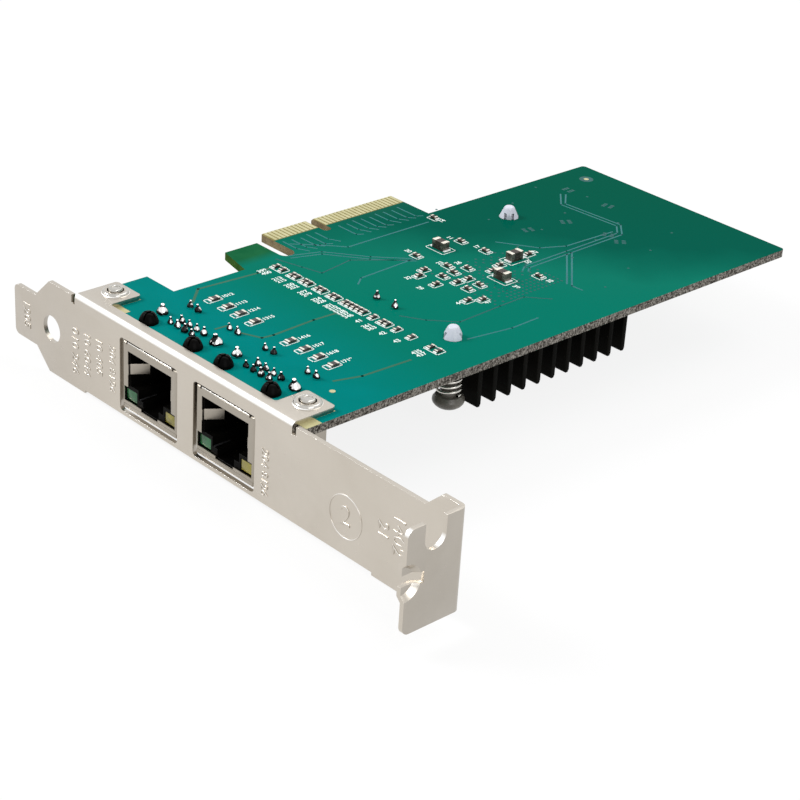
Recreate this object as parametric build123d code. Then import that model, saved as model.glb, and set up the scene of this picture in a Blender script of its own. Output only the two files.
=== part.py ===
from build123d import *
import math
import os

# Low-profile two-port network card, in millimetres.
# X runs from the bracket's tongue to its end tab, Y from the bracket's front face to the board's far end,
# and Z from the component side to the solder side of the board.
# Sizes are laid out from the bracket's front lower corner, and each piece is then moved so that the
# origin is the middle of the board at the edge connector's key notch.

# Bracket sheet and outline
sheet = 0.86
bracket_length = 120.02
shoulder_height = 18.42
tongue_bottom = 3.78
tongue_width = 10.19
tongue_tip_radius = 1.2
tongue_shoulder_x = (6.74, 11.36)
tongue_foot_x = (7.04, 11.04)
tongue_hole_radius = 2.65
tongue_hole_x = 12.0
tongue_hole_height = 9.0
tab_neck_x = (111.75, 115.18)
tab_bottom = 3.17
lower_edge_x = (22.3, 100.7)
lower_edge_rise = 0.55

# End tab
tab_depth = 11.43
tab_bend_outer = 1.3
tab_corner = 1.4
tab_slot_width = 4.42
tab_slot_from_face = 5.66
tab_slot_depth = 5.1
tab_notch_depth = 3.83
tab_notch_bottom = 11.46
tab_notch_height = 1.99
dish_rim_radius = 3.3
dish_floor_radius = 2.4
dish_wall = 0.35

# Flange with its tapped collars
board_drop = 0.42
flange_strip = 2.6
ear_depth = 9.45
ear_width = 7.35
ear_corner = 0.7
flange_bend_outer = 1.0
relief_width = 1.0
relief_depth = 1.6
screw_x = (23.15, 76.6)
screw_y = 6.4
collar_base_radius = 2.6
collar_top_radius = 2.0
collar_height = 0.54

# Flange screws
screw_radius = 1.5
screw_head_radius = 2.8
screw_head_height = 1.9
screw_tip_above_collar = 0.65
screw_clearance = 0.05
screw_recess_width = 0.9
screw_recess_length = 3.2
screw_recess_depth = 1.1

# Board
board_thickness = 1.57
board_front = 1.4
board_left = 19.3
board_right = 82.1
board_end = 126.1
hole_clearance = 0.1
mask_corner = 0.8
tip_x = 15.83
tip_length = 34.3
tip_start = 46.0
tip_corner = 1.0
tip_bevel = 0.5
tip_shoulder_x = 27.55
hook_x = 27.4
hook_end = 19.1
hook_width = 7.8
hook_gap = 3.35
hook_slope = 1.85
front_notch_start = 16.3
key_offset = 12.28
key_width = 1.9
key_depth = 6.57

# Edge contacts
contact_pitch = 1.0
contact_width = 0.7
contact_length = 3.8
plating = 0.05
contacts_before_key = 11
contacts_after_key = 21
key_to_contact = 1.5

# Ground pads under the flange ears
pad_side_reach = 3.0
pad_end_gap = 0.15
pad_step = 3.4

# Ports
port_x = (41.5, 62.65)
port_front = 0.25
port_width = 15.7
port_depth = 16.15
port_standoff = 1.03
port_height = 12.65
window_side_gap = 0.5
window_solder_gap = 0.47
window_component_gap = 1.4
window_corner = 0.8
shield_wall = 0.25
mouth_side = 1.58
mouth_top = 1.75
mouth_neck = 8.9
lamp_pocket_side = 0.5
lamp_pocket_floor = 0.89
key_half_width = 2.4
key_floor = 0.4
side_spring_width = 2.06
side_spring_length = 3.3
side_spring_reach = 2.0
side_spring_height = 7.25
side_spring_root = 0.7
shield_fold = 0.3
fold_notch_width = 0.35
fold_notch_height = 0.5
fold_notch_side = 1.25
shield_tab_width = 1.4
shield_tab_y = 8.9

# Port housing
housing_gap = 0.1
housing_setback = 0.45
housing_foot = 0.5
cavity_rim = 0.32
cavity_depth = 12.2
cavity_top = 1.75
cavity_bottom = 8.7
step_half_width = 3.6
step_bottom = 10.5
latch_half_width = 2.25
latch_bottom = 12.05
peg_spacing = 12.7
peg_y = 4.85
peg_radius = 1.55
peg_barb_radius = 1.85
peg_top_radius = 0.95
peg_height = 1.6
peg_slit = 0.45

# Contact wires and their tails
wire_count = 8
wire_pitch = 1.02
wire_width = 0.42
wire_thickness = 0.3
wire_slot_width = 0.62
wire_slot_start = 1.2
wire_slot_behind_row = 1.1
wire_row_near = 7.55
wire_row_far = 9.4
wire_bend_y = 2.4
wire_free_y = 10.2
wire_level = 1.5
wire_reach = 3.9

# Port lamps and their leads
lamp_side = 0.65
lamp_width = 3.1
lamp_height = 2.15
lamp_floor = 1.05
lamp_length = 5.0
lead_spread = 2.3
lead_inset = 0.4
lead_y = 14.45
lead_size = 0.45

# Controller, thermal pad and heatsink
heatsink_x = 54.95
heatsink_y = 68.5
heatsink_size = 40.0
heatsink_base = 2.5
heatsink_corner = 1.5
fin_count = 11
fin_thickness = 1.1
fin_height = 7.3
chip_size = 25.0
chip_height = 2.3
chip_substrate = 1.1
chip_cap_inset = 1.6
pad_thickness = 0.43
pad_inset = 2.5

# Push pins and springs
pin_reach = 3.95
lug_radius = 3.3
pin_shank_radius = 1.4
pin_hole_radius = 1.6
pin_barb_radius = 2.0
pin_barb_neck_radius = 1.6
pin_barb_neck = 1.7
pin_barb_top_radius = 1.0
pin_barb_height = 2.4
pin_barb_flat = 1.5
pin_slot = 0.45
pin_slot_offset = 0.75
pin_slot_rise = 1.4
pin_core_radius = 1.65
pin_core_gap = 1.2
pin_cap_radius = 3.0
pin_cap_neck_radius = 2.45
pin_cap_foot_radius = 2.1
pin_cap_setback = 0.5
pin_cap_thickness = 2.3
pin_turn = 45
spring_radius = 2.2
spring_wire = 0.5
spring_turns = 3.75
spring_steps = 9
spring_gap = 0.08

# Component side
magnetics_y = 28.6
magnetics_length = 15.2
magnetics_depth = 9.6
magnetics_height = 5.4
magnetics_standoff = 0.15
magnetics_bevel = 0.5
magnetics_lead_count = 8
magnetics_lead_pitch = 1.78
magnetics_lead_width = 0.5
lead_sheet = 0.2
lead_reach = 1.3
lead_drop = 2.6
crystal_x = 54.15
crystal_y = 44.3
crystal_length = 11.0
crystal_width = 4.6
crystal_height = 3.5
crystal_foot = 0.5
crystal_rim = 0.45
crystal_lead_spacing = 4.9
crystal_lead = 0.4
memory_place = (34.5, 104.0)
memory_size = (4.9, 3.9, 1.5)
memory_lead_count = 4
memory_lead_pitch = 1.27
memory_lead_width = 0.42
memory_lead_drop = 0.85
regulator_place = (70.0, 104.5)
regulator_size = (6.5, 3.5, 1.6)
regulator_lead_pitch = 2.3
regulator_lead_width = 0.7
regulator_tab_width = 3.0
regulator_lead_drop = 0.95
small_package_bevel = 0.25
small_package_standoff = 0.1
inductor_place = (56.0, 106.0)
inductor_size = 7.3
inductor_height = 3.6
inductor_base = 1.0
inductor_corner = 1.2
inductor_rim_radius = 3.3
inductor_rim_height = 0.8
inductor_core_radius = 2.4
bulk_places = ((45.5, 101.5), (45.5, 111.5), (64.0, 115.0))
bulk_radius = 3.15
bulk_height = 5.4
bulk_base_height = 0.9
bulk_base_size = 6.6
bulk_rim = 0.4

# Solder side parts: centre and direction of the long side
chip_long = 2.0
chip_wide = 1.2
chip_thick = 0.5
small_long = 1.5
small_wide = 0.8
small_thick = 0.6
big_cap_long = 3.2
big_cap_wide = 1.7
big_cap_thick = 1.8
row_near_y = 20.1
row_near_x = (34.5, 38.5, 42.1, 46.2, 56.0, 59.9, 63.6, 67.4)
row_far_y = 38.4
row_far_single_x = (57.3, 63.6, 67.4)
row_far_pair_x = (35.4, 38.9, 42.8, 46.6, 60.4)
row_far_wide_pair_x = (31.0, 73.4)
row_far_bank_x = 52.2
row_far_bank_count = 5
pair_pitch = 1.27
wide_pair_pitch = 1.9
caps_along_x = ((41.8, 75.6), (48.0, 76.2), (41.8, 63.6), (48.9, 65.2), (51.9, 67.6), (51.7, 64.1),
                (51.8, 61.1), (58.7, 64.1), (58.7, 61.0), (62.5, 76.1), (30.1, 79.4))
caps_along_y = ((47.5, 60.2), (48.9, 57.6), (53.6, 57.5), (55.4, 64.2), (55.3, 61.4), (54.4, 73.6),
                (55.4, 70.7), (62.3, 57.3), (63.6, 59.9), (54.0, 81.9))
big_caps = (((41.8, 70.0), True), ((54.0, 78.0), False), ((59.1, 69.6), True))

# Solder joints
joint_radius = 0.58
joint_height = 1.3
joint_tip_radius = 0.24
tail_size = 0.44
shield_joint_radius = 1.15
shield_joint_height = 1.7
shield_joint_tip_radius = 0.4

# Flat sides of small round forms
small_sides = 10
can_sides = 14
joint_sides = 6

# Levels that several pieces share
solder_side = shoulder_height - board_drop
component_side = solder_side - board_thickness
board_middle = solder_side - board_thickness / 2
flange_bottom = solder_side + plating
flange_top = flange_bottom + sheet
port_shield_top = component_side - port_standoff
port_shield_bottom = port_shield_top - port_height
pad_bottom = component_side - chip_height - pad_thickness
base_bottom = pad_bottom - heatsink_base
fin_bottom = base_bottom - fin_height
pin_cap_bottom = fin_bottom + pin_cap_setback
pin_cap_top = pin_cap_bottom + pin_cap_thickness
pin_core_top = base_bottom - pin_core_gap
tip_end = tip_start + tip_length
key_y = tip_start + key_offset
pin_offset_x = heatsink_size / 2 - lug_radius
pin_offset_y = heatsink_size / 2 + pin_reach
pin_places = ((heatsink_x + pin_offset_x, heatsink_y - pin_offset_y),
              (heatsink_x - pin_offset_x, heatsink_y + pin_offset_y))
port_half = port_width / 2
mouth_half_width = port_half - mouth_side
lamp_pocket_half_width = port_half - lamp_pocket_side
cavity_half_width = mouth_half_width - cavity_rim
lamp_outer_x = port_half - lamp_side
lead_places = (lamp_outer_x - lead_inset - lead_spread, lamp_outer_x - lead_inset)
crystal_leads = (crystal_x - crystal_lead_spacing / 2, crystal_x + crystal_lead_spacing / 2)


def block(x, y, z):
    """A box from its lowest and highest X, Y and Z."""
    size = Box(x[1] - x[0], y[1] - y[0], z[1] - z[0])
    return Pos((x[0] + x[1]) / 2, (y[0] + y[1]) / 2, (z[0] + z[1]) / 2) * size


def post(radius, x, y, z):
    """A round post between two heights."""
    return Pos(x, y, (z[0] + z[1]) / 2) * Cylinder(radius, z[1] - z[0])


def taper(bottom_radius, top_radius, x, y, z):
    """A round taper between two heights."""
    return Pos(x, y, (z[0] + z[1]) / 2) * Cone(bottom_radius, top_radius, z[1] - z[0])


def facet_post(radius, x, y, z, sides=small_sides):
    """A small post with flat sides, just inside the given radius."""
    return Pos(x, y, z[0]) * extrude(RegularPolygon(radius, sides), amount=z[1] - z[0])


def facet_hole(radius, x, y, z):
    """The cutter of a small hole with flat sides, just outside the given radius."""
    plan = RegularPolygon(radius, small_sides, major_radius=False)
    return Pos(x, y, z[0]) * extrude(plan, amount=z[1] - z[0])


def facet_taper(bottom_radius, top_radius, x, y, z, sides=small_sides):
    """A small taper with flat sides between two heights."""
    height = z[1] - z[0]
    slope = math.degrees(math.atan2((bottom_radius - top_radius) * math.cos(math.pi / sides), height))
    return Pos(x, y, z[0]) * extrude(RegularPolygon(bottom_radius, sides), amount=height, taper=slope)


def polygon(points):
    """A closed face from its corners."""
    return make_face(Polyline(*points, close=True))


def wire_xs(port):
    """Places of a port's contact wires."""
    return [port + (i - (wire_count - 1) / 2) * wire_pitch for i in range(wire_count)]


def wire_row(index):
    """Row of a wire's tail: the tails stand in two staggered rows."""
    return wire_row_near if index % 2 == 0 else wire_row_far


# Bracket


def bracket_face():
    """Flat front sheet with tongue, shoulders, raised lower edge and the flange's relief slots."""
    rise = lower_edge_rise
    tongue_top = tongue_bottom + tongue_width
    fold = flange_top - flange_bend_outer
    tab_fold = bracket_length - tab_bend_outer
    left = screw_x[0] - ear_width / 2
    right = screw_x[1] + ear_width / 2
    neck_rise = tab_neck_x[1] - tab_neck_x[0]
    outline = polygon([
        (0, tongue_bottom), (tongue_foot_x[0], tongue_bottom), (tongue_foot_x[1], 0),
        (lower_edge_x[0], 0), (lower_edge_x[0], rise), (lower_edge_x[1], rise), (lower_edge_x[1], 0),
        (tab_neck_x[0], 0), (tab_neck_x[1], tab_bottom), (tab_fold, tab_bottom),
        (tab_fold, tab_bottom + shoulder_height),
        (tab_neck_x[0] + neck_rise, tab_bottom + shoulder_height), (tab_neck_x[0], shoulder_height),
        (right, shoulder_height), (right, fold), (left, fold), (left, shoulder_height),
        (tongue_shoulder_x[1], shoulder_height), (tongue_shoulder_x[0], tongue_top), (0, tongue_top)])
    tips = outline.vertices().sort_by(Axis.X)[:2]
    outline = fillet(tips, tongue_tip_radius)
    for x in (left - relief_width / 2, right + relief_width / 2):
        outline -= Pos(x, shoulder_height) * Rectangle(relief_width, 2 * relief_depth)
    outline -= Pos(tongue_hole_x, tongue_hole_height) * Circle(tongue_hole_radius)
    for x in port_x:
        top = port_shield_top + window_solder_gap
        bottom = port_shield_bottom - window_component_gap
        window = RectangleRounded(port_width + 2 * window_side_gap, top - bottom, window_corner)
        outline -= Pos(x, (top + bottom) / 2) * window
    return extrude(Plane.XZ * outline, amount=-sheet)


def bracket_flange():
    """Top flange folded over the board: a strip between two ears, with a raised collar in each ear."""
    fold = flange_top - flange_bend_outer
    left = screw_x[0] - ear_width / 2
    right = screw_x[1] + ear_width / 2
    overlap = fold - 1
    section = polygon([(0, overlap), (sheet, overlap), (sheet, flange_bottom), (ear_depth, flange_bottom),
                       (ear_depth, flange_top), (0, flange_top)])
    outer = section.vertices().sort_by_distance((0, flange_top))[0]
    section = fillet(outer, flange_bend_outer)
    bar = extrude(Plane.YZ * section, amount=right - left)
    bar = Pos(left, 0, 0) * bar
    plan = polygon([(left, -1), (right, -1), (right, ear_depth), (right - ear_width, ear_depth),
                    (right - ear_width, flange_strip), (left + ear_width, flange_strip),
                    (left + ear_width, ear_depth), (left, ear_depth)])
    plan = fillet(plan.vertices().group_by(Axis.Y)[1:], ear_corner)
    flange = bar & Pos(0, 0, fold - 2) * extrude(plan, amount=flange_top - fold + 3)
    for x in screw_x:
        collar = taper(collar_base_radius, collar_top_radius, x, screw_y,
                       (flange_top, flange_top + collar_height))
        bore = facet_hole(screw_radius + screw_clearance, x, screw_y, (flange_bottom - 1, flange_top + 2))
        flange = flange + collar - bore
    return flange


def bracket_tab():
    """End tab folded forward, with its open screw slot, side notch and pressed dish."""
    inside = bracket_length - sheet
    fold = bracket_length - tab_bend_outer
    tab_top = tab_bottom + shoulder_height
    overlap = fold - 1
    section = polygon([(overlap, 0), (inside, 0), (inside, -tab_depth), (bracket_length, -tab_depth),
                       (bracket_length, sheet), (overlap, sheet)])
    outer = section.vertices().sort_by_distance((bracket_length, sheet))[0]
    section = fillet(outer, tab_bend_outer)
    inner = section.vertices().sort_by_distance((inside, 0))[0]
    section = fillet(inner, tab_bend_outer - sheet)
    tab = Pos(0, 0, tab_bottom) * extrude(section, amount=shoulder_height)
    free_corners = tab.edges().filter_by(Axis.X).group_by(Axis.Y)[0]
    tab = fillet(free_corners, tab_corner)
    notch_middle = tab_notch_bottom + tab_notch_height / 2
    dish_centre = Plane((bracket_length, -tab_depth, notch_middle), x_dir=(0, 1, 0), z_dir=(1, 0, 0))
    front_half = block((inside - 2 * sheet, bracket_length + 1), (-tab_depth, -1), (tab_bottom, tab_top))
    press = dish_centre * Pos(0, 0, -sheet / 2) * Cone(dish_floor_radius, dish_rim_radius, sheet)
    boss = dish_centre * Pos(0, 0, -1.5 * sheet)
    boss *= Cone(dish_floor_radius + dish_wall, dish_rim_radius + dish_wall, sheet)
    tab = tab + (boss & front_half) - press
    tab -= block((inside - 2 * sheet, bracket_length + 1), (-tab_depth - 1, -tab_depth + tab_notch_depth),
                 (tab_notch_bottom, tab_notch_bottom + tab_notch_height))
    round_end = tab_top - tab_slot_depth + tab_slot_width / 2
    slot = block((inside - 1, bracket_length + 1),
                 (-tab_slot_from_face - tab_slot_width / 2, -tab_slot_from_face + tab_slot_width / 2),
                 (round_end, tab_top + 1))
    slot += Pos(inside, -tab_slot_from_face, round_end) * Rot(0, 90, 0) * Cylinder(tab_slot_width / 2, 3)
    return tab - slot


def bracket():
    """The whole folded bracket."""
    return bracket_face() + bracket_flange() + bracket_tab()


# Board


def board_outline():
    """Plan of the board with its edge connector, hook, slot and key notch."""
    hook_far = tip_start - hook_gap
    hook_near = hook_far - hook_width
    plan = polygon([
        (board_left, board_front), (board_right, board_front), (board_right, board_end),
        (tip_shoulder_x, board_end), (tip_shoulder_x, tip_end), (tip_x, tip_end), (tip_x, tip_start),
        (hook_x - hook_gap / 2, tip_start), (hook_x - hook_gap / 2, hook_far), (hook_end, hook_far),
        (hook_end, hook_near), (hook_x, hook_near - hook_slope), (hook_x, front_notch_start),
        (board_left, front_notch_start)])
    near_tip = plan.vertices().sort_by_distance((tip_x, tip_start))[0]
    plan = fillet(near_tip, tip_corner)
    far_corners = plan.vertices().group_by(Axis.Y)[-1]
    plan = fillet(far_corners, mask_corner)
    plan -= Pos(hook_x - hook_gap / 2, tip_start - hook_gap / 2) * Circle(hook_gap / 2)
    key = Pos(tip_x + key_depth / 2 - key_width / 4, key_y) * Rectangle(key_depth - key_width / 2, key_width)
    key += Pos(tip_x + key_depth - key_width / 2, key_y) * Circle(key_width / 2)
    key += Pos(tip_x, key_y) * Rectangle(key_width, key_width)
    return plan - key


def circuit_board():
    """Laminate with bevelled connector tip and the holes for screws, pegs, pins and tails."""
    board = Pos(0, 0, component_side) * extrude(board_outline(), amount=board_thickness)
    reach = (component_side - 1, solder_side + 1)
    for z in (component_side, solder_side):
        bevel = Box(tip_bevel * math.sqrt(2), 2 * tip_length, tip_bevel * math.sqrt(2))
        board -= Pos(tip_x, tip_start + tip_length / 2, z) * Rot(0, 45, 0) * bevel
    holes = [facet_hole(screw_radius + hole_clearance, x, screw_y, reach) for x in screw_x]
    holes += [facet_hole(pin_hole_radius, x, y, reach) for x, y in pin_places]
    side = tail_size / 2 + hole_clearance
    tab_side = shield_wall / 2 + hole_clearance
    tab_half = shield_tab_width / 2 + hole_clearance
    for port in port_x:
        for end in (-1, 1):
            holes.append(facet_hole(peg_radius + hole_clearance, port + end * peg_spacing / 2, peg_y, reach))
            wall = port + end * (port_half - shield_wall / 2)
            across = (shield_tab_y - tab_half, shield_tab_y + tab_half)
            holes.append(block((wall - tab_side, wall + tab_side), across, reach))
            for lead in lead_places:
                x = port + end * lead
                holes.append(block((x - side, x + side), (lead_y - side, lead_y + side), reach))
        for i, x in enumerate(wire_xs(port)):
            y = wire_row(i)
            holes.append(block((x - side, x + side), (y - side, y + side), reach))
    for x in crystal_leads:
        holes.append(block((x - side, x + side), (crystal_y - side, crystal_y + side), reach))
    return board - holes


def edge_contacts():
    """Gold fingers on both faces of the connector tip, on each side of the key notch."""
    fingers = []
    first_after = key_y + key_to_contact
    last_before = key_y - key_to_contact
    places = [first_after + i * contact_pitch for i in range(contacts_after_key)]
    places += [last_before - i * contact_pitch for i in range(contacts_before_key)]
    start = tip_x + tip_bevel
    for y in places:
        across = (y - contact_width / 2, y + contact_width / 2)
        for z in ((solder_side, solder_side + plating), (component_side - plating, component_side)):
            fingers.append(block((start, start + contact_length), across, z))
    return fingers


def ground_pads():
    """Bare plated pads that the flange ears bear on."""
    pads = []
    step = board_front + pad_step
    end = ear_depth - pad_end_gap
    for x in screw_x:
        left = x - ear_width / 2
        ear = x + ear_width / 2
        right = min(ear + pad_side_reach, board_right)
        plan = polygon([(left, board_front), (right, board_front), (right, step), (ear, step), (ear, end),
                        (left, end)])
        pad = Pos(0, 0, solder_side) * extrude(plan, amount=plating)
        pads.append(pad - facet_hole(screw_radius + hole_clearance, x, screw_y, (component_side, flange_top)))
    return pads


def flange_screws():
    """Two pan head screws from the component side into the collars."""
    tip = flange_top + collar_height + screw_tip_above_collar
    screws = []
    for x in screw_x:
        screw = facet_post(screw_radius, x, screw_y, (component_side, tip))
        bottom = component_side - screw_head_height
        head = facet_post(screw_head_radius, x, screw_y, (bottom, component_side), can_sides)
        head = chamfer(head.edges().group_by(Axis.Z)[0], screw_head_height * 0.35)
        for size in ((screw_recess_length, screw_recess_width), (screw_recess_width, screw_recess_length)):
            head -= Pos(x, screw_y, bottom + screw_recess_depth / 2) * Box(size[0], size[1], screw_recess_depth)
        screws.append(screw + head)
    return screws


# Ports


def port_mouth(port):
    """Front opening of a port: plug mouth, lamp pockets and latch way."""
    top = port_shield_top - mouth_top
    neck = port_shield_top - mouth_neck
    floor = port_shield_bottom + lamp_pocket_floor
    mouth = Pos(port, (top + floor) / 2) * Rectangle(2 * mouth_half_width, top - floor)
    mouth += Pos(port, (neck + floor) / 2) * Rectangle(2 * lamp_pocket_half_width, neck - floor)
    latch_floor = port_shield_bottom + key_floor
    mouth += Pos(port, (latch_floor + top) / 2) * Rectangle(2 * key_half_width, top - latch_floor)
    return mouth


def port_shield(port):
    """Folded sheet shield: open to the board, with its mouth, two board tabs and a spring in each side."""
    half = port_half
    back = port_front + port_depth
    shell = block((port - half, port + half), (port_front, back), (port_shield_bottom, port_shield_top))
    front_edges = shell.edges().group_by(Axis.Y)[0]
    shell = chamfer(front_edges, shield_fold)
    shell -= block((port - half + shield_wall, port + half - shield_wall),
                   (port_front + shield_wall, back - shield_wall),
                   (port_shield_bottom + shield_wall, port_shield_top + 1))
    mouth = extrude(Plane.XZ * port_mouth(port), amount=-2 * shield_wall)
    shell -= Pos(0, port_front - shield_wall / 2, 0) * mouth
    level = port_shield_bottom + side_spring_height
    for end in (-1, 1):
        notch = port + end * (half - fold_notch_side)
        shell -= block((notch - fold_notch_width / 2, notch + fold_notch_width / 2),
                       (port_front - 1, port_front + 2 * shield_wall),
                       (port_shield_top - fold_notch_height, port_shield_top + 1))
        wall = port + end * (half - shield_wall / 2)
        shell += block((wall - shield_wall / 2, wall + shield_wall / 2),
                       (shield_tab_y - shield_tab_width / 2, shield_tab_y + shield_tab_width / 2),
                       (port_shield_top - 1, solder_side))
        edge = port + end * (mouth_half_width + shield_wall / 2)
        inward = edge - end * side_spring_reach
        back_y = port_front + side_spring_length
        root = port_front + side_spring_root
        thick = end * shield_wall
        spring = polygon([(edge, port_front), (edge, root), (inward, back_y), (inward - thick, back_y),
                          (edge - thick, root - shield_wall), (edge - thick, port_front)])
        shell += Pos(0, 0, level - side_spring_width / 2) * extrude(spring, amount=side_spring_width)
    return shell


def lamp_block(port, end):
    """Space of one lamp in the port's lower corner."""
    inner = port + end * (lamp_outer_x - lamp_width)
    outer = port + end * lamp_outer_x
    low = port_shield_bottom + lamp_floor
    front = port_front + housing_setback
    return block((min(inner, outer), max(inner, outer)), (front, front + lamp_length), (low, low + lamp_height))


def peg(x):
    """Split and barbed board peg."""
    barb = facet_taper(peg_barb_radius, peg_top_radius, x, peg_y, (solder_side, solder_side + peg_height))
    shaft = facet_post(peg_radius, x, peg_y, (component_side - port_standoff, solder_side))
    slit = block((x - peg_slit / 2, x + peg_slit / 2), (peg_y - 3, peg_y + 3),
                 (solder_side - 1, solder_side + 3))
    return barb + shaft - slit


def port_housing(port):
    """Black moulding with the stepped plug cavity, comb slots, lamp pockets and board pegs."""
    half = port_half - shield_wall - housing_gap
    front = port_front + shield_wall + housing_gap
    back = port_front + port_depth - shield_wall - housing_gap
    low = port_shield_bottom + shield_wall
    body = block((port - half, port + half), (front, back), (low, port_shield_top))
    foot_front = sheet + housing_gap
    body += block((port - half, port + half), (foot_front, back),
                  (port_shield_top - housing_foot, component_side))
    deep = front + cavity_depth
    for half_width, depth_down in ((cavity_half_width, cavity_bottom), (step_half_width, step_bottom),
                                   (latch_half_width, latch_bottom)):
        body -= block((port - half_width, port + half_width), (front - 1, deep),
                      (port_shield_top - depth_down, port_shield_top - cavity_top))
    level = port_shield_bottom + side_spring_height
    spring_half = side_spring_width / 2 + housing_gap
    for end in (-1, 1):
        spring_back = port_front + side_spring_length + 2 * housing_gap
        wide = port + end * (mouth_half_width + shield_wall)
        inner = port + end * (cavity_half_width - 1)
        body -= block((min(wide, inner), max(wide, inner)), (front - 1, spring_back),
                      (level - spring_half, level + spring_half))
        lamp = lamp_block(port, end)
        box = lamp.bounding_box()
        gap = housing_gap / 2
        body -= block((box.min.X - gap, box.max.X + gap), (front - 1, box.max.Y), (low - 1, box.max.Z + gap))
        for lead in lead_places:
            x = port + end * lead
            side = lead_size / 2 + housing_gap
            middle = (box.min.Z + box.max.Z) / 2
            channel = (box.max.Y - housing_gap, lead_y + side)
            body -= block((x - side, x + side), channel, (low - 1, middle + side))
            body -= block((x - side, x + side), (lead_y - side, lead_y + side), (low - 1, component_side + 1))
    slot_length = (front + wire_slot_start, wire_row_far + wire_slot_behind_row)
    slot_height = (port_shield_top - cavity_top - housing_gap, component_side + 1)
    for x in wire_xs(port):
        body -= block((x - wire_slot_width / 2, x + wire_slot_width / 2), slot_length, slot_height)
    for end in (-1, 1):
        body += peg(port + end * peg_spacing / 2)
    return body


def port_contacts(port):
    """Eight formed wires: a tail through the board, a run forward and a sprung end in the cavity."""
    wires = []
    level = port_shield_top - wire_level + wire_thickness / 2
    for i, x in enumerate(wire_xs(port)):
        y = wire_row(i)
        half = wire_thickness / 2
        slope = math.atan2(wire_reach, wire_free_y - wire_bend_y)
        lift = wire_thickness / math.cos(slope)
        shape = polygon([
            (y - half, solder_side), (y - half, level + half), (wire_bend_y, level + half),
            (wire_bend_y - 0.3, level), (wire_bend_y, level - half - 0.1),
            (wire_free_y, level - wire_reach), (wire_free_y, level - wire_reach + lift),
            (wire_bend_y + 1.2, level - half), (y + half, level - half), (y + half, solder_side)])
        wires.append(Pos(x - wire_width / 2, 0, 0) * extrude(Plane.YZ * shape, amount=wire_width))
    return wires


def lamp_leads(port):
    """Lamp leads: back under the cavity and up through the board."""
    leads = []
    half = lead_size / 2
    for end in (-1, 1):
        box = lamp_block(port, end).bounding_box()
        middle = (box.min.Z + box.max.Z) / 2
        for lead in lead_places:
            shape = polygon([(box.max.Y, middle - half), (lead_y + half, middle - half),
                             (lead_y + half, solder_side), (lead_y - half, solder_side),
                             (lead_y - half, middle + half), (box.max.Y, middle + half)])
            x = port + end * lead
            leads.append(Pos(x - half, 0, 0) * extrude(Plane.YZ * shape, amount=lead_size))
    return leads


# Controller, heatsink and its fasteners


def controller_chip():
    """Square chip: a substrate on the board and a narrower moulded cap."""
    half = chip_size / 2
    cap = half - chip_cap_inset
    seat = component_side - chip_substrate
    x, y = heatsink_x, heatsink_y
    chip = block((x - half, x + half), (y - half, y + half), (seat, component_side))
    chip += block((x - cap, x + cap), (y - cap, y + cap), (component_side - chip_height, seat))
    return chip


def thermal_pad():
    """Soft pad between chip and heatsink."""
    half = chip_size / 2 - pad_inset
    x, y = heatsink_x, heatsink_y
    return block((x - half, x + half), (y - half, y + half), (pad_bottom, pad_bottom + pad_thickness))


def heatsink():
    """Extruded comb with bevelled fin tips, and a lug at two corners for the push pins."""
    half = heatsink_size / 2
    x, y = heatsink_x, heatsink_y
    pitch = (heatsink_size - fin_thickness) / (fin_count - 1)
    base = RectangleRounded(heatsink_size, heatsink_size, heatsink_corner)
    plan = Pos(x, y) * base
    for (px, py), side in zip(pin_places, (1, -1)):
        reach = abs(py - y) - half + lug_radius
        plan += Pos(px, py + side * reach / 2) * Rectangle(2 * lug_radius, reach)
        plan += Pos(px, py) * Circle(lug_radius)
    sink = Pos(0, 0, base_bottom) * extrude(plan, amount=heatsink_base)
    for px, py in pin_places:
        sink -= facet_hole(pin_shank_radius + hole_clearance, px, py, (base_bottom - 1, component_side))
    side = fin_thickness / 2
    tip = side / 2
    fins = Sketch()
    for i in range(fin_count):
        fin = polygon([(-side, base_bottom), (-side, fin_bottom + side), (-tip, fin_bottom),
                       (tip, fin_bottom), (side, fin_bottom + side), (side, base_bottom)])
        fins += Pos(y - half + side + i * pitch, 0) * fin
    comb = Pos(x - half, 0, 0) * extrude(Plane.YZ * fins, amount=heatsink_size)
    return sink + comb


def push_pin(x, y, turn):
    """Nylon push pin: tapered cap, spring core, shank and a split, flat-sided barb above the board."""
    middle = (pin_cap_bottom + pin_cap_top) / 2
    tip = solder_side + pin_barb_height
    neck = solder_side + pin_barb_neck
    foot = facet_taper(pin_cap_radius, pin_cap_foot_radius, 0, 0, (0, middle - pin_cap_bottom))
    pin = Pos(0, 0, middle) * Rot(180, 0, 0) * foot
    pin += facet_taper(pin_cap_radius, pin_cap_neck_radius, 0, 0, (middle, pin_cap_top))
    pin += facet_post(pin_core_radius, 0, 0, (pin_cap_top, pin_core_top))
    pin += facet_post(pin_shank_radius, 0, 0, (pin_core_top, solder_side))
    pin += facet_taper(pin_barb_radius, pin_barb_neck_radius, 0, 0, (solder_side, neck))
    pin += facet_taper(pin_barb_neck_radius, pin_barb_top_radius, 0, 0, (neck, tip))
    for end in (-1, 1):
        flat = block((-pin_cap_radius, pin_cap_radius), (pin_barb_flat, pin_cap_radius), (solder_side, tip + 1))
        pin -= Rot(0, 0, 90 + 90 * end) * flat
        middle_x = end * pin_slot_offset
        pin -= block((middle_x - pin_slot / 2, middle_x + pin_slot / 2), (-pin_cap_radius, pin_cap_radius),
                     (component_side, solder_side + pin_slot_rise))
    return Pos(x, y, 0) * Rot(0, 0, turn) * pin


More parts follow.
